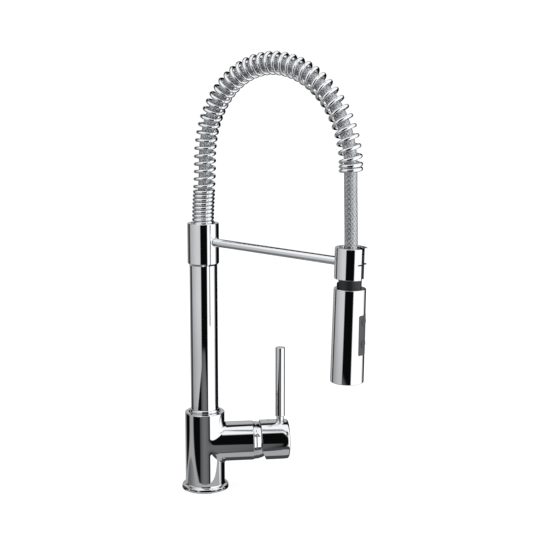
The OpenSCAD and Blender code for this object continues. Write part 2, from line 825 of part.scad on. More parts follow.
module holder() {
    r = holder_d / 2;
    rb = holder_bore / 2;
    color(chrome)
        difference() {
            at_head()
                difference() {
                    rotate_extrude()
                        polygon([[rb, -holder_soft], [rb + holder_soft, 0], [r - holder_soft, 0],
                                 [r, -holder_soft], [r, holder_soft - holder_h],
                                 [r - holder_soft, -holder_h], [rb + holder_soft, -holder_h],
                                 [rb, holder_soft - holder_h]]);
                    translate([0, -holder_slot_w / 2, -holder_h - cut])
                        cube([holder_d, holder_slot_w, holder_h + 2 * cut]);
                    translate([r - holder_cut_depth, -r, -(holder_h + holder_cut_h) / 2])
                        cube([holder_d, holder_d, holder_cut_h]);
                }
            at_arm() translate([0, 0, head_x - holder_d])
                cylinder(r = arm_d / 2 + seat_gap, h = arm_to + 0.2 - head_x + holder_d);
        }
}

// Spray head, drawn downwards from the holder's top

shell_top = -(holder_h + 0.3 + collar_len);
shell_foot = shell_top - shell_len;
collar_top = -(holder_h + 0.3);
collar_sink = 1.4;
neck_top = -8;
neck_bore_r = 8.5;
nut_room_r = 9.3;
ferrule_top = neck_top - 4;
ferrule_len = 17.5;
nut_top = -30.2;
hose_nut_len = 13.2;
core_top = shell_top - 9.4;
core_r = 13;
core_foot = shell_foot + 7.4;
valve_r = 6;
valve_len = 11;
mat_h = 2;
face_h = 3.8;
face_r = shell_bottom_d / 2 - shell_wall - 0.3;

// Outer radius of the shell at height z on the head
function shell_r(z) = (shell_top_d + (shell_bottom_d - shell_top_d) * (shell_top - z) / shell_len) / 2;

module spray_neck() {
    rs = holder_bore / 2 - push_gap;
    rc = collar_d / 2;
    foot = core_top + 0.05;
    color(black)
        at_head() {
            rotate_extrude()
                polygon([[neck_bore_r, nut_top + 0.1], [neck_bore_r, neck_top], [rs - 1.2, neck_top],
                         [rs, neck_top - 1.2], [rs, collar_top], [rc - 0.4, collar_top],
                         [rc, collar_top - 0.4], [rc, shell_top - collar_sink],
                         [rs, shell_top - collar_sink], [rs, foot],
                         [nut_room_r, foot], [nut_room_r, nut_top + 0.1]]);
            rotate([0, 0, -150])
                translate([rc - 0.6, 3.5, shell_top + 0.2]) rotate([90, 0, 0]) linear_extrude(7)
                    polygon([[0, 0], [2.1, 0], [2.1, 4.2], [0, 5.8]]);
        }
}

module hose_ferrule() {
    r = neck_bore_r - 0.2;
    color(steel)
        at_head()
            rotate_extrude()
                polygon([[0, ferrule_top], [r - 0.8, ferrule_top], [r, ferrule_top - 0.8],
                         [r, ferrule_top - 4], [r - 0.7, ferrule_top - 5], [r - 0.7, ferrule_top - 8],
                         [r, ferrule_top - 9], [r, ferrule_top - 12], [r - 0.7, ferrule_top - 13],
                         [r - 0.7, nut_top + 0.05], [0, nut_top + 0.05]]);
}

module hose_nut() {
    color(brass)
        at_head() translate([0, 0, nut_top - hose_nut_len])
            cylinder(r = nut_room_r - 0.2, h = hose_nut_len, $fn = 6);
}

module check_valve() {
    color(nylon)
        at_head() translate([0, 0, nut_top - hose_nut_len - 0.05 - valve_len])
            cylinder(r = valve_r, h = valve_len);
}

module spray_shell() {
    rt = shell_top_d / 2;
    rb = shell_bottom_d / 2;
    hole = collar_d / 2 + 0.2;
    color(chrome)
        at_head()
            difference() {
                rotate_extrude()
                    polygon([[hole, shell_top - 3], [hole, shell_top], [rt - 0.7, shell_top],
                             [rt, shell_top - 0.7], [rb, shell_foot + 0.9], [rb - 0.9, shell_foot],
                             [rb - shell_wall, shell_foot], [rt - shell_wall, shell_top - 3]]);
                panel_prism(seat_gap, 8);
            }
}

module shell_seal() {
    color(black)
        at_head() ring(core_r, shell_r(core_foot) - shell_wall - seat_gap, core_foot + 2.1, 1.8);
}

button_z = [shell_top - panel_from_top - button_1, shell_top - panel_from_top - button_2];
panel_z = shell_top - panel_from_top - panel_h / 2;
panel_back = core_r + 1;
panel_proud = 0.3;
button_proud = 0.6;
button_flange_r = button_d / 2 + 0.8;
button_flange_h = 1;
button_pocket_r = button_flange_r + 0.4;
button_pocket_x = panel_back - 3.2;
button_stem_r = 2;
button_stem_x = 7.5;

// The panel's outline, driven out through the shell from radius x_from
module panel_prism(grow, x_from) {
    translate([0, 0, panel_z]) rotate([0, 0, button_az]) rotate([0, 90, 0])
        translate([0, 0, x_from])
            linear_extrude(shell_bottom_d) soft_plate(panel_h + 2 * grow, panel_w + 2 * grow, 1.6);
}

module spray_core() {
    flange_r = shell_r(core_top) - shell_wall - 0.2;
    foot_r = shell_r(core_foot) - shell_wall - seat_gap;
    color(slate)
        difference() {
            at_head()
                difference() {
                    union() {
                        translate([0, 0, core_foot]) cylinder(r = core_r, h = core_top - core_foot);
                        translate([0, 0, core_top - 2]) cylinder(r = flange_r, h = 2);
                        translate([0, 0, core_foot]) cylinder(r = foot_r, h = 2);
                    }
                    translate([0, 0, nut_top - hose_nut_len - valve_len - 0.3])
                        cylinder(r = valve_r + seat_gap, h = valve_len);
                    ring(core_r - 0.05, foot_r + cut, core_foot + 2, 2);
                }
            for (z = button_z)
                at_button(z) {
                    translate([0, 0, button_pocket_x]) cylinder(r = button_pocket_r, h = core_r);
                    translate([0, 0, button_stem_x - button_travel - 0.5])
                        cylinder(r = button_stem_r + push_gap, h = core_r);
                }
        }
}

module button_panel() {
    color(slate)
        difference() {
            at_head()
                intersection() {
                    rotate_extrude()
                        polygon([[0, shell_top - 2], [shell_r(shell_top - 2) + panel_proud, shell_top - 2],
                                 [shell_r(shell_foot + 2) + panel_proud, shell_foot + 2],
                                 [0, shell_foot + 2]]);
                    panel_prism(0, panel_back);
                }
            for (z = button_z)
                at_button(z) translate([0, 0, core_r]) cylinder(r = button_d / 2 + push_gap, h = core_r);
        }
}

module button(z) {
    crown = 14;
    top = shell_r(z) + panel_proud + button_proud;
    color(slate)
        at_button(z) {
            intersection() {
                translate([0, 0, panel_back - 0.3]) cylinder(r = button_d / 2, h = crown);
                translate([0, 0, top - crown]) sphere(r = crown);
            }
            translate([0, 0, panel_back - 0.2 - button_flange_h])
                cylinder(r = button_flange_r, h = button_flange_h);
            translate([0, 0, button_stem_x]) cylinder(r = button_stem_r, h = panel_back - 1 - button_stem_x);
        }
}

module button_spring(z) {
    to = panel_back - 0.3 - button_flange_h;
    color(steel) at_button(z) ring(button_stem_r + 0.5, button_stem_r + 1.4, button_pocket_x + 0.05,
                                   to - button_pocket_x - 0.05);
}

module button_upper() { button(button_z[0]); }
module button_lower() { button(button_z[1]); }
module button_spring_upper() { button_spring(button_z[0]); }
module button_spring_lower() { button_spring(button_z[1]); }

// Spray face: a rubber mat whose nipples come through the plate, round a central aerator

nipple_r = 0.9;
nipple_rows = [[9.6, 12], [12.8, 18]];       // radius of each row and its number of nipples
aerator_r = 7;
grid_r = aerator_r - 1;
mat_top = core_foot - 0.05;
face_top = mat_top - mat_h - 0.05;

module at_nipples() {
    for (row = nipple_rows, i = [0:row[1] - 1])
        rotate([0, 0, 360 * i / row[1]]) translate([row[0], 0, 0]) children();
}

module nozzle_mat() {
    color(slate)
        at_head() {
            ring(aerator_r + 0.2, face_r, mat_top - mat_h, mat_h);
            at_nipples() translate([0, 0, face_top - face_h - 0.5])
                cylinder(r = nipple_r, h = face_h + 1.5);
        }
}

module spray_face() {
    color(slate)
        at_head()
            difference() {
                ring(aerator_r + 0.2, face_r, face_top - face_h, face_h);
                at_nipples() translate([0, 0, face_top - face_h - cut])
                    cylinder(r = nipple_r + seat_gap, h = face_h + 2 * cut);
            }
}

module aerator() {
    top = mat_top;
    foot = face_top - face_h - 0.2;
    color(steel)
        at_head() {
            ring(aerator_r - 1, aerator_r, foot, top - foot);
            translate([0, 0, top - 1.5]) cylinder(r = aerator_r - 0.5, h = 1.5);
            for (turn = [0, 90], y = [-4, -2, 0, 2, 4])
                rotate([0, 0, turn])
                    translate([-sqrt(grid_r * grid_r - y * y) - 0.3, y - 0.3, foot + 0.3])
                        cube([2 * sqrt(grid_r * grid_r - y * y) + 0.6, 0.6, 1.6]);
        }
}

// Hose below the spring: a curve that leaves the spring straight down and meets the ferrule
// square

function on_head(z) = [head_x + z * sin(head_tilt), 0, head_z + z * cos(head_tilt)];
drop_from = on_arch(arch_len);
drop_to = on_head(ferrule_top + eps);
drop_hold = 24;                               // how far each end holds its direction
drop_a = drop_from - [0, 0, drop_hold];
drop_b = on_head(ferrule_top + eps + drop_hold);
function on_drop(u) =
    pow(1 - u, 3) * drop_from + 3 * u * pow(1 - u, 2) * drop_a
    + 3 * u * u * (1 - u) * drop_b + pow(u, 3) * drop_to;
function along_drop(u) =
    let (v = 3 * pow(1 - u, 2) * (drop_a - drop_from) + 6 * u * (1 - u) * (drop_b - drop_a)
        + 3 * u * u * (drop_to - drop_b)) v / norm(v);

module hose_lower() {
    steps = 8;
    color(steel) tube([for (i = [0:steps]) hose_ring(on_drop(i / steps), along_drop(i / steps))]);
}

valve_body();
base_gasket();
thrust_washer();
riser_bush_lower();
riser_bush_upper();
riser_retaining_screw();
cartridge_housing();
cartridge_seals();
cartridge_nut();
ceramic_disc_fixed();
dome_shroud();
cartridge_rotor();
ceramic_disc_moving();
cartridge_stem();
stem_pin();
handle_hub();
lever_rod();
handle_grub_screw();
index_plug();
riser_tube();
swivel_ring();
upper_sleeve();
sleeve_grub_screw();
spring();
hose_riser();
hose_arch();
support_arm();
holder();
hose_lower();
spray_neck();
hose_ferrule();
hose_nut();
check_valve();
spray_shell();
shell_seal();
spray_core();
button_panel();
button_upper();
button_lower();
button_spring_upper();
button_spring_lower();
nozzle_mat();
spray_face();
aerator();
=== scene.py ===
# %% [markdown]
# # A pull-down kitchen tap, dressed for its portrait
# The tap is a round chrome body with a lever at its side, a swivelling column, a spring that arches
# over a braided hose, and a spray head that hangs in a slotted holder. Its sizes and joints come from
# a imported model, which loads here as a fixed frame. Everything below is built around that frame,
# in metres, so no piece has to be fitted by eye.

# %% Load the frame
import json
import math

import bpy
import numpy as np
from mathutils import Matrix, Vector
from mathutils.kdtree import KDTree


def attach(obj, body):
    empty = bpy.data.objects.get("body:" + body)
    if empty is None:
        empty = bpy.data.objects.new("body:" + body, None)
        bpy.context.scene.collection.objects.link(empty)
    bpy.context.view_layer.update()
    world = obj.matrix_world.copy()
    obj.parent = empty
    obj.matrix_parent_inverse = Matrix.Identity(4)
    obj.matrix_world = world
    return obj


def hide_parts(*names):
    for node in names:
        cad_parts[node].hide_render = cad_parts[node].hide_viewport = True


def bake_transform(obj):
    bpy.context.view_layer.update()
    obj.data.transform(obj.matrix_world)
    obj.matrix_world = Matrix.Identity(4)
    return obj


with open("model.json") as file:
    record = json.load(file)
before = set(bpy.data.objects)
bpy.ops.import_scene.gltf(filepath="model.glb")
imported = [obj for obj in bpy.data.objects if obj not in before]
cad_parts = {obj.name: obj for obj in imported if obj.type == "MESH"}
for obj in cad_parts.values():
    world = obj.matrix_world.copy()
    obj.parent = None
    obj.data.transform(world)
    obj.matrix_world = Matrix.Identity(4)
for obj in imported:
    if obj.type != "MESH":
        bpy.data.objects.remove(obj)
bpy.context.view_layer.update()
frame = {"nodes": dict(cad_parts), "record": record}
MM = 0.001

# %% [markdown]
# Most pieces of a tap are easiest to describe along their own axis. Three leaning axes matter here:
# the side boss that carries the lever, the thin support arm, and the spray head. Each gets a matrix
# that turns "millimetres along my own axis" into "metres in the room", so a piece is drawn upright
# at the origin and then laid in its place inside its mesh.

# %% Places
def shift(x, y, z):
    return Matrix.Translation((x, y, z))


def turn(degrees, axis):
    return Matrix.Rotation(math.radians(degrees), 4, axis)


BOSS_TURN, BOSS_Z = 44.5, 51.4                        # the boss's direction in degrees, and its height
PIVOT, LEVER_AT = 56.6, 84.5                          # along the boss: the lever's pivot, and its rod
ARM_Z, ARM_TURN = 278.3, 91.65
HEAD_X, HEAD_Z, HEAD_LEAN = 191, 288.4, 1.5
BUTTON_TURN = 8
ROOM = Matrix.Scale(MM, 4)
AT_COLUMN = ROOM.copy()
AT_SIDE = ROOM @ turn(BOSS_TURN, "Z")                                      # X along the boss, Z up
AT_BOSS = ROOM @ turn(BOSS_TURN, "Z") @ shift(0, 0, BOSS_Z) @ turn(90, "Y")   # z outwards, x down
AT_LEVER = AT_BOSS @ shift(0, 0, LEVER_AT) @ turn(-90, "Y")                # z up the lever
AT_ARM = ROOM @ shift(0, 0, ARM_Z) @ turn(ARM_TURN, "Y")                   # z from column to holder
AT_HEAD = ROOM @ shift(HEAD_X, 0, HEAD_Z) @ turn(HEAD_LEAN, "Y")           # z up, zero at the holder's top


def at_button(z):
    return AT_HEAD @ shift(0, 0, z) @ turn(BUTTON_TURN, "Z") @ turn(90, "Y")


print("lever foot at", [round(c, 4) for c in AT_LEVER @ Vector((0, 0, 26.5))])

# %% [markdown]
# Blender's operators act on whatever is selected, and loading leaves the frame selected. So each step
# starts by clearing the selection, and picks one object where it needs one. A modifier is applied as
# soon as it is set up, which leaves a plain mesh for the next step.

# %% Selecting and finishing
def nothing_picked():
    bpy.context.view_layer.objects.active = frame["nodes"]["riser_tube"]
    bpy.ops.object.select_all(action="DESELECT")


def pick(obj):
    bpy.ops.object.select_all(action="DESELECT")
    obj.select_set(True)
    bpy.context.view_layer.objects.active = obj


def added(name, data):
    """A new object in the scene, for a mesh or a camera that is already there."""
    obj = bpy.data.objects.new(name, data)
    bpy.context.scene.collection.objects.link(obj)
    return obj


def finished(obj, kind, **settings):
    pick(obj)
    modifier = obj.modifiers.new(kind, kind)
    for key, value in settings.items():
        setattr(modifier, key, value)
    bpy.ops.object.modifier_apply(modifier=modifier.name)


def smooth(obj, degrees=32):
    pick(obj)
    bpy.ops.object.shade_smooth_by_angle(angle=math.radians(degrees))
    finished(obj, "WEIGHTED_NORMAL", keep_sharp=True, weight=60)


# %% [markdown]
# A turned piece is what a lathe makes: an outline that goes once round an axis. Here a circle is
# added and pulled along the outline ring by ring, with extrude and resize, the way a potter pulls
# up a wall. Corners are rounded in the outline first, because a corner drawn as a short arc catches
# a thin bright line, as a real polished edge does. Chrome shows every facet, so a ring has 160 corners
# or more where it is wide.

# %% Turned pieces
def rounded(points, cuts=6):
    """An outline of (radius, height) points; a third number rounds that corner."""
    line = []
    for i, point in enumerate(points):
        if len(point) == 2:
            line.append(point)
            continue
        here = Vector(point[:2])
        a = (Vector(points[i - 1][:2]) - here).normalized()
        b = (Vector(points[(i + 1) % len(points)][:2]) - here).normalized()
        half = a.angle(b) / 2
        centre = here + (a + b).normalized() * point[2] / math.sin(half)
        start = here + a * point[2] / math.tan(half) - centre
        end = here + b * point[2] / math.tan(half) - centre
        first = math.atan2(start.y, start.x)
        sweep = (math.atan2(end.y, end.x) - first + math.pi) % (2 * math.pi) - math.pi
        for k in range(cuts + 1):
            angle = first + sweep * k / cuts
            line.append((centre.x + point[2] * math.cos(angle), centre.y + point[2] * math.sin(angle)))
    return line


def arc(x, y, r, a, b, cuts=12):
    angles = [math.radians(a + (b - a) * k / cuts) for k in range(cuts + 1)]
    return [(x + r * math.cos(t), y + r * math.sin(t)) for t in angles]


def turned(name, outline, place, steps=160):
    tiny = 0.0004                                     # a pole's ring, merged to a point at the end
    (r, z), *rest = [(max(r, tiny), z) for r, z in outline]
    nothing_picked()
    bpy.ops.mesh.primitive_circle_add(vertices=steps, radius=r, fill_type="NOTHING")
    obj = bpy.context.object
    obj.name = obj.data.name = name
    bpy.ops.object.mode_set(mode="EDIT")
    bpy.ops.mesh.select_all(action="SELECT")
    bpy.ops.transform.translate(value=(0, 0, z))
    for r2, z2 in rest:
        bpy.ops.mesh.extrude_region_move(TRANSFORM_OT_translate={"value": (0, 0, z2 - z)})
        bpy.ops.transform.resize(value=(r2 / r, r2 / r, 1), center_override=(0, 0, z2))
        r, z = r2, z2
    bpy.ops.mesh.select_all(action="SELECT")
    bpy.ops.mesh.remove_doubles(threshold=0.001)
    bpy.ops.mesh.normals_make_consistent(inside=False)
    bpy.ops.object.mode_set(mode="OBJECT")
    obj.data.transform(place)
    return obj


# %% [markdown]
# Holes, slots and windows are cut as on a milling machine: a second shape takes its own room out of
# the first. A box or a rounded plate is made once more from primitives, and the boolean modifier
# does the cutting. After a cut, the corners of the new faces lie in the middle of old facets, and
# mirror-like metal would show that, so the walls get the exact direction of the round form back.

# %% Cutting
NEARLY_UPRIGHT, NEARLY_RADIAL = 0.2, 0.995             # what still counts as a round wall


def block(low, high, place, soft=0.0, up="z"):
    """A box between two corners in mm; soft rounds its four upright edges."""
    nothing_picked()
    low, high = Vector(low), Vector(high)
    bpy.ops.mesh.primitive_cube_add(size=1, location=(low + high) / 2)
    obj = bpy.context.object
    obj.scale = high - low
    bpy.ops.object.transform_apply(location=True, rotation=True, scale=True)
    if soft:
        bpy.ops.object.mode_set(mode="EDIT")
        bpy.ops.mesh.select_all(action="DESELECT")
        bpy.ops.object.mode_set(mode="OBJECT")
        axis = "xyz".index(up)
        for edge in obj.data.edges:
            a, b = (obj.data.vertices[v].co for v in edge.vertices)
            edge.select = all(abs(a[i] - b[i]) < 1e-6 for i in range(3) if i != axis)
        bpy.ops.object.mode_set(mode="EDIT")
        bpy.ops.mesh.select_mode(type="EDGE")
        bpy.ops.mesh.bevel(offset=soft, segments=6, affect="EDGES")
        bpy.ops.mesh.select_mode(type="VERT")
        bpy.ops.object.mode_set(mode="OBJECT")
    obj.data.transform(place)
    return obj


def rod(r, z, height, place, steps=48):
    return turned("rod", [(0, z), (r, z), (r, z + height), (0, z + height)], place, steps)


def carve(obj, *tools, keep="DIFFERENCE"):
    for tool in tools:
        finished(obj, "BOOLEAN", object=tool, operation=keep, solver="EXACT")
        bpy.data.objects.remove(tool)


def true_walls(obj, place):
    """Gives faces that lie on a cylinder or cone round the place's axis their exact direction."""
    mesh = obj.data
    normals = [Vector(n.vector) for n in mesh.corner_normals]
    back, spin = place.inverted(), place.to_3x3().normalized()
    for face in mesh.polygons:
        n = spin.transposed() @ face.normal
        centre = back @ face.center
        out = Vector((centre.x, centre.y, 0))
        if abs(n.z) > NEARLY_UPRIGHT or out.length < 1:
            continue
        if abs(n.to_2d().normalized().dot(out.to_2d().normalized())) < NEARLY_RADIAL:
            continue
        side = 1 if n.dot(out) > 0 else -1
        for loop in face.loop_indices:
            p = back @ mesh.vertices[mesh.loops[loop].vertex_index].co
            radial = Vector((p.x, p.y, 0)).normalized() * side * math.sqrt(1 - n.z * n.z)
            normals[loop] = spin @ Vector((radial.x, radial.y, n.z))
    mesh.normals_split_custom_set(normals)


# %% [markdown]
# ## Finishes
# A shader is easier to read as arithmetic than as a web of boxes. `Value` wraps one socket, so that
# `1 - mask * 0.5` adds the Math nodes itself. `Finish` makes one material and adds any other node
# by its type, its settings and its sockets.

# %% Shader arithmetic
STUDIO_WHITE = (0.985, 0.99, 1.0, 1)


class Value:
    def __init__(self, finish, socket):
        self.finish, self.socket = finish, socket

    def math(self, operation, *others):
        return self.finish.node("ShaderNodeMath", {"operation": operation}, dict(enumerate((self, *others))))

    def __add__(self, other):
        return self.math("ADD", other)

    def __radd__(self, other):
        return self.math("ADD", other)

    def __sub__(self, other):
        return self.math("SUBTRACT", other)

    def __rsub__(self, other):
        return (self * -1).math("ADD", other)

    def __mul__(self, other):
        return self.math("MULTIPLY", other)

    def __rmul__(self, other):
        return self.math("MULTIPLY", other)

    def __truediv__(self, other):
        return self.math("DIVIDE", other)

    def sin(self):
        return self.math("SINE")

    def size(self):
        return self.math("ABSOLUTE")

    def power(self, other):
        return self.math("POWER", other)

    def at_least(self, other):
        return self.math("MAXIMUM", other)

    def at_most(self, other):
        return self.math("MINIMUM", other)


class Finish:
    def __init__(self, name):
        self.material = bpy.data.materials.new(name)
        self.material.use_nodes = True
        self.tree = self.material.node_tree
        self.tree.nodes.clear()

    def node(self, kind, settings=None, sockets=None, out=0):
        node = self.tree.nodes.new(kind)
        for key, value in (settings or {}).items():
            setattr(node, key, value)
        for key, value in (sockets or {}).items():
            if isinstance(value, Value):
                self.tree.links.new(value.socket, node.inputs[key])
            elif value is not None:
                node.inputs[key].default_value = value
        return Value(self, node.outputs[out])

    def ease(self, x, low, high):
        return self.node("ShaderNodeMapRange", {"interpolation_type": "SMOOTHSTEP"},
                         {"Value": x, "From Min": low, "From Max": high})

    def band(self, x, low, high, soft):
        return self.ease(x, low - soft, low + soft) * (1 - self.ease(x, high - soft, high + soft))

    def mix(self, factor, a, b):
        return self.node("ShaderNodeMix", {"data_type": "RGBA"}, {0: factor, 6: a, 7: b}, out=2)

    def where(self):
        """The Object coordinates."""
        return self.node("ShaderNodeTexCoord", out=3)

    def noise(self, scale, detail=3.0, vector=None):
        place = vector or self.where()
        return self.node("ShaderNodeTexNoise", None, {"Vector": place, "Scale": scale, "Detail": detail})

    def bump(self, height, strength, distance):
        return self.node("ShaderNodeBump", None,
                         {"Strength": strength, "Distance": distance, "Height": height})

    def surface(self, shader):
        end = self.tree.nodes.new("ShaderNodeOutputMaterial")
        self.tree.links.new(shader.socket, end.inputs["Surface"])
        return self.material

    def shade(self, **sockets):
        names = {key.replace("_", " ").title().replace("Ior", "IOR"): value for key, value in sockets.items()}
        return self.surface(self.node("ShaderNodeBsdfPrincipled", None, names))

    def shine(self, strength):
        light = {"Color": STUDIO_WHITE, "Strength": strength}
        return self.surface(self.node("ShaderNodeEmission", None, light))


def dress(obj, finish):
    obj.data.materials.clear()
    obj.data.materials.append(finish)
    for face in obj.data.polygons:
        face.material_index = 0


# %% [markdown]
# Polished chrome is nearly a mirror: almost all of its look comes from what it reflects. What is its
# own is a faint blue-grey tint, a sharp but not perfect gloss, and a slightly duller skin where hands
# and water touch it. So the colour and the roughness drift a little with two sizes of noise, and
# nothing bends the reflection.

# %% Chrome
def chrome_finish(name, tint, gloss, wear):
    f = Finish(name)
    cloud = f.noise(28.0, 2.0)
    fine = f.noise(420.0, 4.0)
    colour = f.mix(cloud, [c * 0.965 for c in tint] + [1], list(tint) + [1])
    return f.shade(base_color=colour, metallic=1.0, roughness=gloss + wear * cloud * fine)


chrome = chrome_finish("polished_chrome", (0.93, 0.94, 0.955), 0.022, 0.05)
spring_chrome = chrome_finish("spring_chrome", (0.92, 0.93, 0.945), 0.045, 0.08)
print("chrome finishes:", chrome.name, spring_chrome.name)

# %% [markdown]
# The plastics are moulded: matte, with a fine spark-eroded grain that a bump of high-frequency noise
# gives. The steel and brass pieces inside are turned, so their roughness drifts along faint rings
# round their own height, and the white bushes are slightly waxy.

# %% Plastics and inner metals
def plastic(name, low, high, rough, grain, scale=2600.0):
    f = Finish(name)
    cloud = f.noise(60.0, 3.0)
    grainy = f.noise(scale, 2.0)
    return f.shade(base_color=f.mix(cloud, low + [1], high + [1]), roughness=rough + 0.1 * cloud,
                   normal=f.bump(grainy, grain, 0.0002))


def bright_metal(name, low, high, rough):
    f = Finish(name)
    stretched = f.node("ShaderNodeMapping", None, {"Vector": f.where(), "Scale": (60.0, 60.0, 900.0)})
    rings = f.noise(1.0, 3.0, stretched)
    return f.shade(base_color=f.mix(rings, low + [1], high + [1]), metallic=1.0,
                   roughness=rough + 0.18 * rings, normal=f.bump(rings, 0.15, 0.0001))


black_plastic = plastic("black_nylon", [0.007, 0.007, 0.008], [0.014, 0.014, 0.016], 0.36, 0.3)
slate_plastic = plastic("slate_moulding", [0.052, 0.058, 0.062], [0.066, 0.072, 0.077], 0.42, 0.35)
button_skin = plastic("button_skin", [0.042, 0.047, 0.05], [0.056, 0.061, 0.065], 0.5, 0.5, 1800.0)
slate_rubber = plastic("slate_silicone", [0.07, 0.075, 0.08], [0.09, 0.095, 0.1], 0.55, 0.4)
seal_rubber = plastic("black_rubber", [0.015, 0.015, 0.016], [0.028, 0.028, 0.03], 0.6, 0.4)
white_plastic = plastic("white_acetal", [0.78, 0.78, 0.74], [0.86, 0.86, 0.82], 0.4, 0.1)
ceramic = plastic("ground_ceramic", [0.84, 0.83, 0.78], [0.9, 0.89, 0.85], 0.18, 0.05)
brass = bright_metal("turned_brass", [0.62, 0.47, 0.22], [0.74, 0.58, 0.3], 0.18)
steel = bright_metal("turned_steel", [0.5, 0.51, 0.53], [0.64, 0.65, 0.67], 0.2)
FINISH_OF = {"chrome": chrome, "brass": brass, "steel": steel, "seal_rubber": seal_rubber, "braid": steel,
             "black_plastic": black_plastic, "slate_plastic": slate_plastic, "slate_rubber": slate_rubber,
             "ceramic": ceramic, "white_plastic": white_plastic}
print("finishes:", len(bpy.data.materials))

# %% [markdown]
# Every node of the frame gets the finish of its own slot. Most are inside the tap and are only seen
# in other poses or through a gap; their shape is right as it comes, so a better skin is all they need.

# %% Finishes for the frame's nodes
slot_of = {part["node"]: part["material_slot"] for part in frame["record"]["subparts"]}
for name, node in frame["nodes"].items():
    dress(node, FINISH_OF[slot_of[name]])
print("dressed", len(slot_of), "nodes")


def stands_for(obj, node, body, finish=None):
    """obj takes the node's place on its body, with the node's finish or another."""
    dress(obj, finish or FINISH_OF[slot_of[node]])
    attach(obj, body)
    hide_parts(node)
    print(node, "->", obj.name, len(obj.data.polygons), "faces")
    return obj


# %% [markdown]
# ## The body
# Body, side boss and foot are one casting, and the eye goes straight to the place where the two
# equal cylinders run into each other. Their seam is a saddle that a boolean and a bevel can't round
# evenly, since the cylinders are almost level with each other at the sides. So this one piece is
# laid out by formula: a ball of the fillet's radius rolls round the seam, and its touching lines
# divide the surface into wall, fillet and boss. Each corner is given the true direction of the
# surface at that point, so the reflections run over the seam without a break.

# %% A sheet of faces with known directions
class Casting:
    def __init__(self):
        self.points, self.number, self.faces, self.normals, self.kinds = [], {}, [], [], []

    def corner(self, p):
        key = tuple(round(c, 3) + 0.0 for c in p)
        if key not in self.number:
            self.number[key] = len(self.points)
            self.points.append(p)
        return self.number[key]

    def grid(self, rows, kind):
        """rows of (point, normal), joined to quads; the last column joins the first."""
        for low, high in zip(rows, rows[1:]):
            n = len(low)
            for i in range(n):
                j = (i + 1) % n
                four = [low[i], low[j], high[j], high[i]]
                ids, kept = [], []
                for p, normal in four:
                    k = self.corner(p)
                    if k not in ids:
                        ids.append(k)
                        kept.append(normal)
                if len(ids) < 3:
                    continue
                a, b, c = (Vector(self.points[k]) for k in ids[:3])
                if (b - a).cross(c - a).dot(sum((Vector(way) for way in kept), Vector())) < 0:
                    ids, kept = ids[::-1], kept[::-1]
                self.faces.append(ids)
                self.normals += [tuple(way) for way in kept]
                self.kinds.append(kind)

    def obj(self, name, place):
        mesh = bpy.data.meshes.new(name)
        mesh.from_pydata([tuple(p) for p in self.points], [], self.faces)
        mesh.polygons.foreach_set("use_smooth", [True] * len(mesh.polygons))
        mesh.transform(place)
        spin = place.to_3x3().normalized()
        mesh.normals_split_custom_set([spin @ Vector(n) for n in self.normals])
        return added(name, mesh)


# %% [markdown]
# The skin of the casting is one formula: the distance to the body, the distance to the boss, and a soft
# join between the two. Where the cylinders meet at a right angle the join is narrow, like a fillet. At
# the sides, where they are nearly level, it spreads, as it does when such a casting is polished. The
# half of the body behind its axis has no boss, so the boss fades out there. A point is laid on the
# skin by a few steps along the slope of that distance, and the slope is also its exact direction.

# %% The skin of body and boss
BODY_R, BOSS_R, BOSS_END = 21.9, 21.85, 53.2
RIM, FOOT = 86.4, 6.8                                 # where the body's straight wall ends
NARROW, SPREAD = 2.6, 3.2                             # the join's width in mm, and what it gains at the sides


def skin(p):
    x, y, z = p[:, 0], p[:, 1], p[:, 2] - BOSS_Z
    r, s = np.hypot(x, y), np.hypot(y, z)
    to_body, to_boss = r - BODY_R, s - BOSS_R + 0.3 * np.minimum(x, 0) ** 2
    level = np.clip(y * y / (r * s), 0, 1)               # 1 where both face the same way
    width = (NARROW + SPREAD * level) * np.sqrt(1 - level) + 1e-6
    near = np.clip(1 - abs(to_body - to_boss) / width, 0, 1)
    return np.minimum(to_body, to_boss) - width * near * near / 4


def slope(p):
    g = np.stack([skin(p + step) - skin(p - step) for step in np.eye(3) * 0.02], axis=1)
    return g / np.linalg.norm(g, axis=1, keepdims=True)


def settle(rows):
    """Moves rows of (point, direction) onto the skin, with the skin's own directions."""
    p = np.array([[point for point, _ in row] for row in rows], float)
    flat = p.reshape(-1, 3)
    for _ in range(4):
        flat = flat - skin(flat)[:, None] * slope(flat)
    n = slope(flat).reshape(p.shape)
    rows[:] = [[(tuple(a), tuple(b)) for a, b in zip(*pair)] for pair in zip(flat.reshape(p.shape), n)]


corner = np.array([[BODY_R, 0.0, BOSS_Z + BOSS_R]])
print("at the top corner the join fills", round(-skin(corner)[0], 2), "mm")

# %% [markdown]
# The sheet is laid out in three belts that share their edges, each with as many steps round the seam.
# The wall is the body's cylinder, cut open at the back and stretched from the seam to that cut. A ball
# that rolls in the corner gives the fillet's first place, and the boss runs straight on from there.
# Rows crowd towards the seam, where the surface turns fastest. Then every belt settles on the skin.

# %% Three belts round the seam
WALL, BOSS, FILLET, RING = range(4)                   # the kinds of face
FILLET_R, ROUND, CROWD = 2.4, 240, 1.25               # the ball, the steps round, how rows crowd
BALL_BODY, BALL_BOSS = BODY_R + FILLET_R, BOSS_R + FILLET_R   # the ball's middle from either axis
WALL_ROWS, FILLET_ROWS, BOSS_ROWS = 56, 9, 18
CONE = 1.0                                            # the boss's last millimetre narrows a little


def column_point(angle, z):
    return (BODY_R * math.cos(angle), BODY_R * math.sin(angle), z), (math.cos(angle), math.sin(angle), 0)


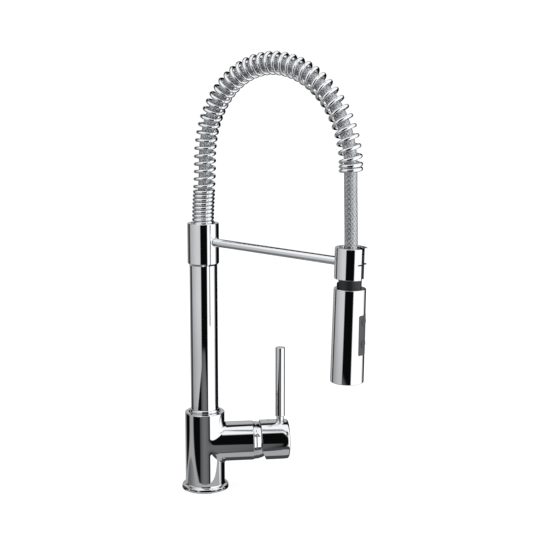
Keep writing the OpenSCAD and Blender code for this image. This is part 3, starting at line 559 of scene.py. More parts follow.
def border(i):
    """The edge of the unrolled column wall for step i: top edge, back seam, bottom edge."""
    k, third = min(i, ROUND - i), ROUND // 6
    side = 1 if i <= ROUND // 2 else -1
    if k <= third:
        return side * math.pi * k / third, RIM
    if k <= 2 * third:
        return side * math.pi, RIM + (FOOT - RIM) * (k - third) / third
    return side * math.pi * (3 * third - k) / third, FOOT


casting = Casting()
wall = [[] for _ in range(WALL_ROWS + 1)]
fillet = [[] for _ in range(FILLET_ROWS + 1)]
tube = [[] for _ in range(BOSS_ROWS + 1)]
for i in range(ROUND):
    w = 2 * math.pi * i / ROUND
    y = BALL_BOSS * math.sin(w) if i % (ROUND // 2) else 0.0
    up = BALL_BOSS * math.cos(w)
    d = math.sqrt(BALL_BODY * BALL_BODY - y * y)
    to_body, to_boss = Vector((-d, -y, 0)) / BALL_BODY, Vector((0, -y, -up)) / BALL_BOSS
    angle, z = math.atan2(y, d), BOSS_Z + up
    far_angle, far_z = border(i)
    for k, row in enumerate(wall):
        t = (k / WALL_ROWS) ** CROWD
        row.append(column_point(angle + (far_angle - angle) * t, z + (far_z - z) * t))
    centre, between = Vector((d, y, z)), to_body.angle(to_boss)
    for k, row in enumerate(fillet):
        v = to_body.slerp(to_boss, k / FILLET_ROWS) if between > 1e-6 else to_body
        row.append((tuple(centre + FILLET_R * v), tuple(-v)))
    out = -to_boss
    for k, row in enumerate(tube):
        along = d + (BOSS_END - CONE - d) * (k / BOSS_ROWS) ** CROWD
        row.append(((along, out.y * BOSS_R, BOSS_Z + out.z * BOSS_R), tuple(out)))
for rows in (wall, fillet, tube):
    settle(rows)
fillet[0], tube[0] = wall[0], fillet[-1]
casting.grid(wall, WALL)
casting.grid(fillet, FILLET)
casting.grid(tube, BOSS)
print("seam laid out:", len(casting.faces), "faces")

# %% [markdown]
# The rest of the casting goes round one of the two axes: the rim with the bore for the column's
# bushes, the hollow underside with the gasket's groove, the foot flange with its soft edge and hollow
# fillet, and the cartridge bore in the boss. Each is an outline with directions, set round in rings.

# %% Rings round both axes
def ring_rows(outline, angles, along_boss=False):
    rows = []
    for r, h, nr, nh in outline:
        row = []
        for t in angles:
            c, s = math.cos(t), math.sin(t)
            if along_boss:                       # t counts from the top of the boss
                row.append(((h, r * s, BOSS_Z + r * c), (nh, nr * s, nr * c)))
            else:
                row.append(((r * c, r * s, h), (nr * c, nr * s, nh)))
        rows.append(row)
    return rows


def flats(points):
    """Straight stretches of an outline, each with the direction to the left of its way."""
    for (r1, h1), (r2, h2) in zip(points, points[1:]):
        n = Vector((h1 - h2, r2 - r1)).normalized()
        yield [(r1, h1, n.x, n.y), (r2, h2, n.x, n.y)]


def bend(x, y, r, a, b, cuts, side=1):
    turns = [math.radians(a + (b - a) * k / cuts) for k in range(cuts + 1)]
    return [(x + r * math.cos(t), y + r * math.sin(t), side * math.cos(t), side * math.sin(t)) for t in turns]


def ring(outline):
    casting.grid(ring_rows(outline, column_angles), RING)


def boss_ring(outline):
    casting.grid(ring_rows(outline, boss_angles, True), RING)


SOFT_RIM = 0.8
COLUMN_STEPS = 80
column_angles = [2 * math.pi * k / COLUMN_STEPS for k in range(COLUMN_STEPS)]
boss_angles = [2 * math.pi * k / ROUND for k in range(ROUND)]
bore = [(BODY_R - SOFT_RIM, RIM + SOFT_RIM), (17.9, RIM + SOFT_RIM), (17.9, RIM - 1.2), (17.1, RIM - 1.2),
        (17.1, 62.0), (8.0, 62.0), (8.0, 13.0)]
underside = [(17.5, 13.0), (17.5, 0.0), (21.7, 0.0), (21.7, 2.5), (24.5, 2.5), (24.5, 0.0), (25.9, 0.0),
             (26.0, 0.1), (25.6, 3.3)]
ring(bend(BODY_R - SOFT_RIM, RIM, SOFT_RIM, 0, 90, 8))
for stretch in flats(bore + underside):
    ring(stretch)
ring(bend(24.708, 3.183, 0.9, 7.5, 73.5, 8))
ring([(24.963, 4.046, 0.284, 0.959), (22.382, 4.8, 0.284, 0.959)])
ring(bend(BODY_R + 3.6, 6.6, 3.6, 210, 180, 10, -1))
ring([(BODY_R, 6.6, 1, 0), (BODY_R, FOOT, 1, 0)])
boss_ring([(BOSS_R, BOSS_END - CONE, 0.979, 0.205), (BOSS_R - 0.2, BOSS_END - 0.04, 0.979, 0.205)])
mouth = [(BOSS_R - 0.2, BOSS_END - 0.04), (BOSS_R - 0.24, BOSS_END), (19.75, BOSS_END), (19.75, 41.9),
         (18.0, 41.9), (18.0, 21.3), (0.0, 21.3)]
for stretch in flats(mouth):
    boss_ring(stretch)
body = casting.obj("body_casting", AT_SIDE)
print("casting:", len(body.data.polygons), "faces,", len(body.data.vertices), "corners")

# %% [markdown]
# The tapped holes below are seen from underneath, and the small screw hole from behind. They are
# drilled with the boolean, which keeps the number of each face's skin. That number tells afterwards
# which formula a face belongs to, so every cut face gets its true direction back.

# %% Drilling the body
for _ in (WALL, BOSS, FILLET, RING):
    body.data.materials.append(chrome)
body.data.materials.append(steel)
for face, kind in zip(body.data.polygons, casting.kinds):
    face.material_index = kind
stud = rod(3.4, 10, 25, AT_COLUMN @ turn(BOSS_TURN + 180, "Z") @ shift(12.6, 0, 0))
screw_hole = rod(2.5, 12, 12, AT_COLUMN @ shift(0, 0, 70) @ turn(-90, "Y"))
tails = [rod(3.5, 10, 15, AT_COLUMN @ turn(BOSS_TURN + a, "Z") @ shift(13.4, 0, 0)) for a in (-35, 0, 35)]
drills = [stud, screw_hole] + tails
for drill in drills:
    dress(drill, steel)
carve(body, *drills)
mesh = body.data
side_back, side_spin = AT_SIDE.inverted(), AT_SIDE.to_3x3().normalized()
bpy.context.view_layer.update()
laid = KDTree(len(casting.normals))
corners = [k for ids in casting.faces for k in ids]
for i, k in enumerate(corners):
    laid.insert(casting.points[k], i)
laid.balance()
spots = np.array([side_back @ v.co for v in mesh.vertices])
skin_way = slope(spots)


def laid_way(spot, own):
    """The direction that was laid down at this corner and lies nearest to the face's own."""
    near = [Vector(casting.normals[k]) for _, k, away in laid.find_n(Vector(spot), 16) if away < 0.02]
    n = max(near, key=own.dot, default=own)
    return n if n.dot(own) > 0.9 else own


normals = []
for face in mesh.polygons:
    own = side_spin.transposed() @ face.normal
    for loop in face.loop_indices:
        i = mesh.loops[loop].vertex_index
        if face.material_index in (WALL, BOSS, FILLET):
            n = Vector(skin_way[i])
        else:
            n = laid_way(spots[i], own) if face.material_index == RING else own
        normals.append(side_spin @ n)
mesh.normals_split_custom_set(normals)
stands_for(body, "valve_body", "base")

# %% [markdown]
# ## Handle
# The dome starts as a plain ring at the boss's end and goes on as a ball round the lever's pivot, so
# the hub can tip over it with an even gap. Near the ring the ball swells a little, which bends the
# reflections there as in the photograph.

# %% Dome
RING_R, SEAT_R = 19.65, 17.65


def ball_r(a):
    """The dome's radius at an angle in radians above the pivot's plane."""
    return 20.45 + 0.6 * math.exp(-a / 0.2)


dome_line = rounded([(SEAT_R, 49.8), (RING_R, 49.8), (RING_R, 53.25), (21.6, 53.25, 0.04), (21.2, 55.3, 0.1),
                     (20.6, 55.5), (20.6, 56.4)])
ball = [(ball_r(a), a) for a in (0.0348 * k for k in range(25))]
dome_line += [(r * math.cos(a), PIVOT + r * math.sin(a)) for r, a in ball]
dome_line += arc(0, PIVOT, 19.95, 44.6, 0, 12) + [(SEAT_R, 55.0), (SEAT_R, 49.8)]
dome = turned("dome_shroud_skin", dome_line, AT_BOSS, 192)
smooth(dome, 25)
stands_for(dome, "dome_shroud", "base")

# %% [markdown]
# The hub is a short thick cylinder with a hollow that matches the ball and a faint crown near its end.
# A flat cut at its lower rim lets it swing in under the boss. It is turned first and milled after.

# %% Hub
HUB_R, HUB_FROM, HUB_TO, PLUG_AT = 22.3, 61.8, 94.0, 71.3
CROWN = 118                                           # radius of the crown
hollow = arc(0, PIVOT, 21.55, 90, 13.97, 24)
crowned = arc(HUB_R - CROWN, 83.8, CROWN, 0, 3.4, 6)
crowned += [(21.9, 93.3, 2.3), (17.5, 93.5), (9, 93.85), (0, HUB_TO)]
hub_line = hollow + rounded([(20.913, HUB_FROM), (HUB_R, HUB_FROM, 0.3)] + crowned, 10)[1:]
hub = turned("handle_hub_skin", hub_line, AT_BOSS, 192)
relief = block((0, -40, -30), (40, 40, 30), AT_BOSS @ shift(6.5, 0, HUB_FROM) @ turn(67.9, "Y"))
lever_bores = [rod(4.6, 21.6, 6, AT_LEVER), rod(3.0, 12.3, 12, AT_LEVER, 32)]
grub_bore = rod(2.5, 10, 20, AT_LEVER @ turn(180, "Y"), 32)
plug_bore = rod(1.15, 20.0, 5, AT_BOSS @ shift(0, 0, PLUG_AT) @ turn(-90, "Y"), 32)
carve(hub, relief, *lever_bores, grub_bore, plug_bore)
smooth(hub, 25)
true_walls(hub, AT_BOSS)
stands_for(hub, "handle_hub", "handle")

# %% [markdown]
# The lever is a plain rod on a narrow neck, with softened ends. The small dark plug marks the middle
# of the hub.

# %% Lever and plug
LEVER_R, LEVER_TOP = 5.3, 105.9
lever_line = rounded([(0, 12.6), (2.9, 12.6, 0.3), (2.9, 21.65), (4.1, 21.65, 0.2), (4.1, 26.5),
                      (LEVER_R, 26.5, 1.1), (LEVER_R, LEVER_TOP, 1.2), (0, LEVER_TOP)], 8)
lever = turned("lever_rod_skin", lever_line, AT_LEVER, 96)
smooth(lever, 25)
stands_for(lever, "lever_rod", "handle")
plug = turned("index_plug_skin", rounded([(0, 20.1), (1.1, 20.1), (1.1, 22.1, 0.3), (0, 22.1)]),
              AT_BOSS @ shift(0, 0, PLUG_AT) @ turn(-90, "Y"), 32)
smooth(plug)
stands_for(plug, "index_plug", "handle")

# %% [markdown]
# ## Column
# The column is a bare tube that turns in the body. A groove near its foot takes the tip of a screw,
# which keeps it from lifting out.

# %% Riser
RISER_R, RISER_BORE, RISER_FROM, RISER_TO = 15.15, 13.65, 63.2, 269.9
groove = [(RISER_R, 68.3), (14.25, 68.3), (14.25, 71.7), (RISER_R, 71.7)]
riser_line = rounded([(RISER_BORE, RISER_FROM), (RISER_R, RISER_FROM, 0.3)] + groove +
                     [(RISER_R, RISER_TO, 0.3), (RISER_BORE, RISER_TO)]) + [(RISER_BORE, RISER_FROM)]
riser = turned("riser_tube_skin", riser_line, AT_COLUMN, 192)
smooth(riser)
stands_for(riser, "riser_tube", "riser")

# %% [markdown]
# A soft bead covers the gap between the column and the body's rim.

# %% Bead
BEAD = 86.8
swell = [(15.3 + 1.35 * x, BEAD + 2.1 + 2.3 * y) for x, y in arc(0, 0, 1, -50, 90, 16)]
bead_line = [(RISER_R, BEAD), (16.3, BEAD)] + swell + [(RISER_R, BEAD + 4.4), (RISER_R, BEAD)]
bead = turned("swivel_ring_skin", bead_line, AT_COLUMN, 160)
smooth(bead, 25)
stands_for(bead, "swivel_ring", "riser")

# %% [markdown]
# The sleeve on top of the column is bored from below for the column and from above for the spring,
# with a web between that the hose goes through. Its lower edge is chamfered, and the arm enters
# through a small countersink.

# %% Sleeve
SLEEVE_R, SLEEVE_BORE, SLEEVE_FROM, SLEEVE_TO = 17.2, 15.25, 252.0, 298.0
sleeve_line = rounded([(SLEEVE_BORE, SLEEVE_FROM), (15.3, SLEEVE_FROM), (SLEEVE_R, 254.3, 0.3),
                       (SLEEVE_R, SLEEVE_TO, 0.8), (13.1, SLEEVE_TO, 0.25), (13.1, 290.0), (7.1, 290.0),
                       (7.1, 270.0), (SLEEVE_BORE, 270.0)]) + [(SLEEVE_BORE, SLEEVE_FROM)]
sleeve = turned("upper_sleeve_skin", sleeve_line, AT_COLUMN, 192)
ARM_R, ARM_BORE, ARM_TO = 4.5, 4.6, 178.66
arm_bore = turned("bore", [(0, 8.4), (ARM_BORE, 8.4), (ARM_BORE, 16.4), (5.2, 16.4), (5.2, 24), (0, 24)],
                  AT_ARM, 64)
carve(sleeve, arm_bore, rod(2.1, 12, 8, AT_COLUMN @ shift(0, 0, 261) @ turn(-90, "Y"), 32))
smooth(sleeve, 25)
true_walls(sleeve, AT_COLUMN)
stands_for(sleeve, "upper_sleeve", "riser")

# %% [markdown]
# ## Support arm and holder
# The arm is a straight rod. The holder is a collar with an upright slot that the hose slips through,
# and a fine saw cut across the slot, which lets it spring a little. The slot's far lip is cut back
# at a slant. All edges are broken with a narrow bevel, so each one draws a thin bright line.

# %% Arm and holder
arm_line = rounded([(0, 8.7), (ARM_R, 8.7, 0.3), (ARM_R, ARM_TO, 0.3), (0, ARM_TO)], 3)
arm = turned("support_arm_skin", arm_line, AT_ARM, 96)
smooth(arm)
stands_for(arm, "support_arm", "riser")
HOLDER_R, HOLDER_BORE, HOLDER_FOOT, HALF_SLOT = 16.3, 11.0, -31.4, 4.65
holder_line = rounded([(HOLDER_BORE, 0.0, 0.5), (HOLDER_R, 0.0, 0.6), (HOLDER_R, HOLDER_FOOT, 0.6),
                       (HOLDER_BORE, HOLDER_FOOT, 0.5)], 4)
holder = turned("holder_skin", holder_line + holder_line[:1], AT_HEAD, 192)
slot = block((0, -HALF_SLOT, -40), (30, HALF_SLOT, 8), AT_HEAD)
saw_cut = block((11.8, -20, -16.6), (30, 7.0, -15.0), AT_HEAD)
far_lip = block((0, 0, -40), (20, 20, 8), AT_HEAD @ shift(13.0, HALF_SLOT, 0) @ turn(-24, "Z"))
carve(holder, slot, saw_cut, far_lip, rod(ARM_BORE, 160, 18.9, AT_ARM, 64))
finished(holder, "BEVEL", width=0.22 * MM, segments=2, limit_method="ANGLE", angle_limit=math.radians(60))
smooth(holder, 25)
true_walls(holder, AT_HEAD)
stands_for(holder, "holder", "riser")

# %% [markdown]
# ## Spray head
# A matte black neck sits in the holder, and a long chrome shell, slightly wider at its foot, hangs
# below it. The shell has a window for a slate panel with two round push buttons.

# %% Neck
COLLAR_R, COLLAR_BORE = 10.9, 8.5
neck_line = rounded([(COLLAR_BORE, -30.1), (COLLAR_BORE, -8.0, 0.4), (9.7, -8.0), (COLLAR_R, -9.2),
                     (COLLAR_R, -31.7), (11.7, -31.7, 0.5), (11.7, -41.5), (COLLAR_R, -41.5),
                     (COLLAR_R, -49.45), (9.3, -49.45), (9.3, -30.1)])
neck = turned("spray_neck_skin", neck_line + [(COLLAR_BORE, -30.1)], AT_HEAD, 128)
lug = block((10.6, -3.5, -41.0), (13.1, 3.5, -36.0), AT_HEAD @ turn(-150, "Z"), 0.8, "x")
carve(neck, lug, keep="UNION")
smooth(neck)
stands_for(neck, "spray_neck", "spray_head")

# %% [markdown]
# The shell is turned and then gets its window. The panel is the same turned form, a little prouder,
# kept only where the window's outline runs through it, so panel and shell share one curve.

# %% Shell and panel
PANEL_Z, BUTTONS = -87.2, (-73.5, -96.2)
PANEL_TOP, PANEL_FOOT, PROUD = -60, -112, 0.3
SHELL_TOP_R, SHELL_FOOT_R, SHELL_TOP, SHELL_FOOT = 16.25, 17.1, -41.2, -137.4


def window(grow, start):
    low, high = (-20.4 - grow, -7.5 - grow, start), (20.4 + grow, 7.5 + grow, 34)
    return block(low, high, at_button(PANEL_Z), 1.6 + grow, "z")


shell_line = rounded([(11.9, -43.1), (11.9, SHELL_TOP, 0.2), (SHELL_TOP_R, SHELL_TOP, 0.6),
                      (SHELL_FOOT_R, SHELL_FOOT, 0.7), (15.6, SHELL_FOOT, 0.3), (14.75, -43.1)], 6)
shell = turned("spray_shell_skin", shell_line + [(11.9, -43.1)], AT_HEAD, 192)
carve(shell, window(0.1, 8))
smooth(shell, 25)
true_walls(shell, AT_HEAD)
stands_for(shell, "spray_shell", "spray_head")


def shell_r(z):
    return SHELL_TOP_R + 0.85 * (-40.1 - z) / 97.3


panel_line = [(0, PANEL_TOP), (shell_r(PANEL_TOP) + PROUD, PANEL_TOP),
              (shell_r(PANEL_FOOT) + PROUD, PANEL_FOOT), (0, PANEL_FOOT)]
panel = turned("button_panel_skin", panel_line, AT_HEAD, 192)
carve(panel, window(0, 14), keep="INTERSECT")
carve(panel, *[rod(4.6, 8, 20, at_button(z), 96) for z in BUTTONS])
finished(panel, "BEVEL", width=0.35 * MM, segments=3, limit_method="ANGLE", angle_limit=math.radians(50))
smooth(panel, 25)
stands_for(panel, "button_panel", "spray_head")

# %% [markdown]
# A push button is a low crowned disc with a soft rim. Behind it lie the flange that keeps it in the
# panel and the stem that works the valve.

# %% Buttons
BUTTON_R, FLANGE_R, STEM_R, FLANGE_FRONT, CROWN_R = 4.5, 5.3, 2.0, 13.8, 14
for z, node, body_name in zip(BUTTONS, ("button_upper", "button_lower"), ("upper_button", "lower_button")):
    top = shell_r(z) + 0.9
    across = [BUTTON_R * k / 8 for k in range(7)]
    crown = [(r, top - CROWN_R + math.sqrt(CROWN_R ** 2 - r ** 2)) for r in across]
    edge = rounded([crown[-1], (BUTTON_R, crown[-1][1] - 0.15, 0.35), (BUTTON_R, FLANGE_FRONT)], 6)
    flange = [(FLANGE_R, FLANGE_FRONT), (FLANGE_R, 12.8), (STEM_R, 12.8), (STEM_R, 7.5), (0, 7.5)]
    button = turned(node + "_skin", crown[:-1] + edge + flange, at_button(z), 96)
    smooth(button)
    stands_for(button, node, body_name, button_skin)

# %% [markdown]
# ## Spring
# The spring is one wire. Its middle line climbs out of the sleeve, leans over a little and goes round
# half an ellipse to its free end. The turns are close at both ends and open between, so the turn
# number is tabled against the length along the line first. A round tube is then laid along the helix,
# ring by ring, and its two cut ends are softened.

# %% The arch line
FOOT_Z, FREE_END_Z, LEAN_OUT = 298, 361, 3.5          # where the arch leaves the sleeve, ends, leans to
HALF_SPAN, RISE, SPRING_LINE = 93, 102.5, 366
arch_line = [(0.0, 290.3)]
for u in (i / 16 for i in range(17)):
    arch_line.append((LEAN_OUT * u * u * (3 - 2 * u), FOOT_Z + (SPRING_LINE - FOOT_Z) * u))
for t in (math.radians(2.5 * i) for i in range(1, 73)):
    arch_line.append((LEAN_OUT + HALF_SPAN * (1 - math.cos(t)) - 2 * math.sin(t) ** 2,
                      SPRING_LINE + RISE * math.sin(t)))
arch_line += [(LEAN_OUT + 2 * HALF_SPAN, SPRING_LINE - 5 * i / 3) for i in (1, 2, 3)]
arch_line = np.array(arch_line)
length_at = np.concatenate([[0], np.cumsum(np.linalg.norm(np.diff(arch_line, axis=0), axis=1))])
ARCH = length_at[-1]


def on_arch(s):
    return Vector((np.interp(s, length_at, arch_line[:, 0]), 0, np.interp(s, length_at, arch_line[:, 1])))


def along_arch(s, reach=2.0):
    return (on_arch(min(ARCH, s + reach)) - on_arch(max(0, s - reach))).normalized()


CLOSE, CLOSE_START, CLOSE_END = 4.27, 43.7, 11        # pitch of the close turns, and their stretches
OPEN, WIDER = 8.2, 1.3


def pitch_at(s):
    if s < CLOSE_START or s > ARCH - CLOSE_END:
        return CLOSE
    u = (s - CLOSE_START) / (ARCH - CLOSE_END - CLOSE_START)
    return OPEN + WIDER * u * u * (3 - 2 * u)


turns = [0.0]
while len(turns) <= int(ARCH):
    turns.append(turns[-1] + 1 / pitch_at(len(turns) - 0.5))
print("arch length", round(ARCH, 1), "mm,", round(turns[-1], 2), "turns of wire")

# %% [markdown]
# The wire is a tube along the helix round that line. It takes some two thousand rings, too many to
# extrude one after the other, so their corners are worked out and joined to faces in one go.

# %% The helix
COIL_R, WIRE_R = 10.2, 1.95
PER_TURN, BETWEEN = 8, 5                              # steps in a turn, and rings in a step


def on_spring(k):
    """The point of the helix at step k."""
    t = k / PER_TURN + 0.5
    s = float(np.interp(t, turns, range(len(turns))))
    go = along_arch(s)
    a = 2 * math.pi * t
    return on_arch(s) + COIL_R * (math.cos(a) * Vector((go.z, 0, -go.x)) + math.sin(a) * Vector((0, 1, 0)))


last = int((turns[-1] - 1) * PER_TURN)
route = [on_spring(k / BETWEEN) for k in range(last * BETWEEN + 1)]
start_way = (on_spring(0) - on_spring(0.5)).normalized()
end_way = (on_spring(last) - on_spring(last - 0.5)).normalized()
first_tip = [route[0] + start_way * 3.9, route[0] + start_way * 2]
last_tip = [route[-1] + end_way * 2, route[-1] + end_way * 3.9]
route = first_tip + route + last_tip
print("helix of", len(route), "points")

# %% [markdown]
# Each ring stands square to the wire's way at its point. The first and the last ring are a little
# narrower, which softens the cut ends.

# %% The wire
def wire_tube(name, points, r, sides):
    """A round tube through points, with a ring square to the way at each, and softened ends."""
    n = len(points)
    up = Vector((0, 1, 0))
    frames = []
    for i, p in enumerate(points):
        go = (points[min(n - 1, i + 1)] - points[max(0, i - 1)]).normalized()
        up = (up - go * up.dot(go)).normalized()
        frames.append((p, go, up, go.cross(up)))
    caps = [(-r * 0.12, 0.72), (0, 0.92)]
    rings = [(frames[0], a, b) for a, b in caps] + [(f, 0, 1) for f in frames[1:-1]]
    rings += [(frames[-1], -a, b) for a, b in caps[::-1]]
    angles = [2 * math.pi * k / sides for k in range(sides)]
    verts = []
    for (p, go, u, v), along, share in rings:
        verts += [p + go * along + r * share * (math.cos(a) * u + math.sin(a) * v) for a in angles]
    faces = []
    for low in range(0, (len(rings) - 1) * sides, sides):
        for i in range(sides):
            j = (i + 1) % sides
            faces.append([low + i, low + j, low + sides + j, low + sides + i])
    faces += [list(range(sides))[::-1], list(range(len(verts) - sides, len(verts)))]
    mesh = bpy.data.meshes.new(name)
    mesh.from_pydata([tuple(v) for v in verts], [], faces)
    mesh.transform(ROOM)
    obj = added(name, mesh)
    pick(obj)
    bpy.ops.object.mode_set(mode="EDIT")
    bpy.ops.mesh.select_all(action="SELECT")
    bpy.ops.mesh.normals_make_consistent(inside=False)
    bpy.ops.object.mode_set(mode="OBJECT")
    bpy.ops.object.shade_smooth_by_angle(angle=math.radians(50))
    return obj


spring = wire_tube("spring_wire", route, WIRE_R, 16)
stands_for(spring, "spring", "riser", spring_chrome)

# %% [markdown]
# ## Hose
# The hose is rubber under a braid of steel wire. Flat bands of wire wind round it both ways and pass
# over and under each other, which gives the fine herringbone of the photograph. The bands are real
# relief on the tube: a height for each family of bands, one of them on top at each crossing. That is a
# height for each of some tens of thousands of corners, so the mesh is worked out from a formula and not
# shaped in edit mode. The wires inside a band are too fine for the mesh, so the finish draws them
# along the band from the piece's own UV map.
# The finish also paints shade: the colour is dark in the low places between the bands and darker at the sides
# of each wire, as painted shade.

# %% Braid finish
WIRES = 5                                             # in one band


def braid_finish():
    f = Finish("steel_braid")
    uv = f.node("ShaderNodeUVMap", {"uv_map": "braid"})
    parts = [f.node("ShaderNodeSeparateXYZ", None, {"Vector": uv}, out=k) for k in (0, 1)]
    top = f.node("ShaderNodeAttribute", {"attribute_name": "family"}, out=2)
    low = f.node("ShaderNodeAttribute", {"attribute_name": "relief"}, out=2)
    one, two = parts[0] + parts[1], parts[0] - parts[1]
    wire_run = 2 * math.pi * WIRES
    # the wire stripes bend the surface through the bump, and also darken the colour between the wires as
    # painted shade
    wires = (one * wire_run).sin() * (1 - top) + (two * wire_run).sin() * top
    # painted shade: 0 where the band relief is low, in the gaps between bands, and 1 on the band tops
    light = f.ease(low, 0.1, 0.75)
    dirt = f.noise(90.0, 3.0)
    bright = f.mix(dirt, [0.74, 0.75, 0.77, 1], [0.86, 0.87, 0.89, 1])
    # painted shade: dark steel in the low gaps and between the wires, the bright steel on the band tops
    colour = f.mix(light * (0.82 + 0.18 * wires), [0.13, 0.136, 0.14, 1], bright)
    return f.shade(base_color=colour, metallic=1.0, roughness=0.13 + 0.1 * dirt,
                   normal=f.bump(wires, 0.5, 0.00012))


braid = braid_finish()
print("braid finish with", len(braid.node_tree.nodes), "nodes")

# %% [markdown]
# Two families of bands wind round the hose, one to the left and one to the right. On a map of the hose
# they are slanting stripes, and the sum and the difference of the two map directions count them. A
# band is highest along its middle and where it goes over the other family, like a row of low arches.

# %% The braided tube
HOSE_R, RELIEF = 6.7, 0.32
BANDS, BAND_RUN = 12, 4.6                             # bands round the hose, and mm along it for one
UNDER = 0.25                                          # height of a band where it goes under


def band_heights(one, two):
    """Heights of the two families at a point, by its count in each."""
    on_top = (math.floor(one) + math.floor(two)) % 2
    heights = []
    for family, mine, other in ((0, one, two), (1, two, one)):
        across = max(0.0, math.sin(math.pi * (mine % 1))) ** 0.5
        bow = 0.62 + 0.38 * math.cos(math.pi * (other % 1 - 0.5))
        heights.append(across * (bow if on_top == family else UNDER))
    return heights


def braided(name, way, length, step, around):
    """A braided tube; way(s) gives the point and direction at s mm, around the corners of a ring."""
    rings = int(round(length / step))
    verts, relief, family = [], [], []
    for k in range(rings + 1):
        s = length * k / rings
        p, go = way(s)
        n, side = Vector((go.z, 0, -go.x)), Vector((0, 1, 0))
        for i in range(around):
            u, v = BANDS * i / around, s / BAND_RUN
            first, second = band_heights(u + v, u - v)
            h = max(first, second)
            a = 2 * math.pi * i / around
            r = HOSE_R - RELIEF * (1 - h)
            verts.append(p + r * (math.cos(a) * n - math.sin(a) * side))
            relief.append(h)
            family.append(0.0 if first >= second else 1.0)
    faces, uvs = [], []
    for k in range(rings):
        v1, v2 = length * k / rings / BAND_RUN, length * (k + 1) / rings / BAND_RUN
        for i in range(around):
            j = (i + 1) % around
            faces.append([k * around + i, k * around + j, (k + 1) * around + j, (k + 1) * around + i])
            u1, u2 = BANDS * i / around, BANDS * (i + 1) / around
            uvs += [(u1, v1), (u2, v1), (u2, v2), (u1, v2)]
    ends = [list(range(around))[::-1], list(range(rings * around, (rings + 1) * around))]
    uvs += [(0, 0)] * (2 * around)
    mesh = bpy.data.meshes.new(name)
    mesh.from_pydata([tuple(v) for v in verts], [], faces + ends)
    layer = mesh.uv_layers.new(name="braid")
    layer.data.foreach_set("uv", [c for uv in uvs for c in uv])
    for key, values in (("relief", relief), ("family", family)):
        mesh.attributes.new(key, "FLOAT", "POINT").data.foreach_set("value", values)
    mesh.transform(ROOM)
    a, b, c = (mesh.vertices[k].co for k in mesh.polygons[0].vertices[:3])
    if (b - a).cross(c - b).dot(a - ROOM @ way(0)[0]) < 0:
        mesh.flip_normals()
    obj = added(name, mesh)
    pick(obj)
    bpy.ops.object.shade_smooth_by_angle(angle=math.radians(60))
    return obj


# %% [markdown]
# Three stretches make up the hose: inside the column, inside the spring, and the free end between the
# spring and the spray head. The free end follows a gentle curve that leaves the spring straight down
# and meets the head square.

# %% Three stretches of hose
UP = Vector((0, 0, 1))
in_column = braided("hose_in_column", lambda s: (UP * (0.5 + s), UP), 289.4, 1.6, 48)
stands_for(in_column, "hose_riser", "riser", braid)
in_spring = braided("hose_in_spring", lambda s: (on_arch(s), along_arch(s)), ARCH, 0.62, 84)
stands_for(in_spring, "hose_arch", "riser", braid)
DROP = 84.7                                           # length of the free end
FREE_END = Vector((LEAN_OUT + 2 * HALF_SPAN, 0, FREE_END_Z))
HEAD_TOP, HEAD_UP = Vector((HEAD_X, 0, HEAD_Z)), turn(HEAD_LEAN, "Y") @ UP
drop = [FREE_END, FREE_END - 24 * UP, HEAD_TOP + 12.01 * HEAD_UP, HEAD_TOP - 11.99 * HEAD_UP]


def on_drop(s):
    """Point and direction on a curve that starts at drop[0], ends at drop[3] and is pulled by the others."""
    u = s / DROP
    v = 1 - u
    p = v ** 3 * drop[0] + 3 * u * v ** 2 * drop[1] + 3 * u * u * v * drop[2] + u ** 3 * drop[3]
    go = v ** 2 * (drop[1] - drop[0]) + 2 * u * v * (drop[2] - drop[1]) + u * u * (drop[3] - drop[2])
    return p, go.normalized()


free_end = braided("hose_free_end", on_drop, DROP, 0.4, 108)
dress(free_end, braid)
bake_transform(free_end)
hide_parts("hose_lower")
print("free end of", DROP, "mm")

# %% [markdown]
# ## Small pieces that stay
# The pieces of the spray face and the screws keep the frame's shape. A copy of each is merged and its
# edges are softened a little, because a sharp computed edge never catches the light. The gasket under
# the foot is a plain soft ring, so it is turned like the rest.

# %% Softened copies
def softened(node, body_name, width):
    source = frame["nodes"][node]
    obj = added(node + "_skin", source.data.copy())
    pick(obj)
    bpy.ops.object.mode_set(mode="EDIT")
    bpy.ops.mesh.select_all(action="SELECT")
    bpy.ops.mesh.remove_doubles(threshold=0.000002)
    bpy.ops.mesh.dissolve_limited(angle_limit=math.radians(1))
    bpy.ops.object.mode_set(mode="OBJECT")
    finished(obj, "BEVEL", width=width * MM, segments=2, limit_method="ANGLE",
             angle_limit=math.radians(40), use_clamp_overlap=True)
    smooth(obj)
    return stands_for(obj, node, body_name)


for node, body_name, width in (("spray_face", "spray_head", 0.12), ("nozzle_mat", "spray_head", 0.12),
                               ("aerator", "spray_head", 0.06), ("riser_retaining_screw", "base", 0.1),
                               ("sleeve_grub_screw", "riser", 0.08), ("handle_grub_screw", "handle", 0.08)):
    softened(node, body_name, width)
gasket_line = rounded([(21.8, 0.0, 0.5), (24.4, 0.0, 0.5), (24.4, 2.4, 0.3), (21.8, 2.4, 0.3)])
gasket = turned("base_gasket_skin", gasket_line + gasket_line[:1], AT_COLUMN)
smooth(gasket)
stands_for(gasket, "base_gasket", "base")

# %% [markdown]
# ## The studio
# The camera looks from where the photograph was taken. Its place, direction and lens come from a fit
# to the round outlines in the photograph.

# %% Camera
DOWN = math.radians(9.705)
camera = added("camera", bpy.data.cameras.new("camera"))
camera.location = (0.8459, -1.0098, 0.4709)
look = Vector((-0.599 * math.cos(DOWN), 0.8007 * math.cos(DOWN), -math.sin(DOWN)))
camera.rotation_euler = look.to_track_quat("-Z", "Y").to_euler()
camera.data.lens = 81.69
camera.data.sensor_width = 36
bpy.context.scene.camera = camera
print("camera looks along", [round(c, 3) for c in look])

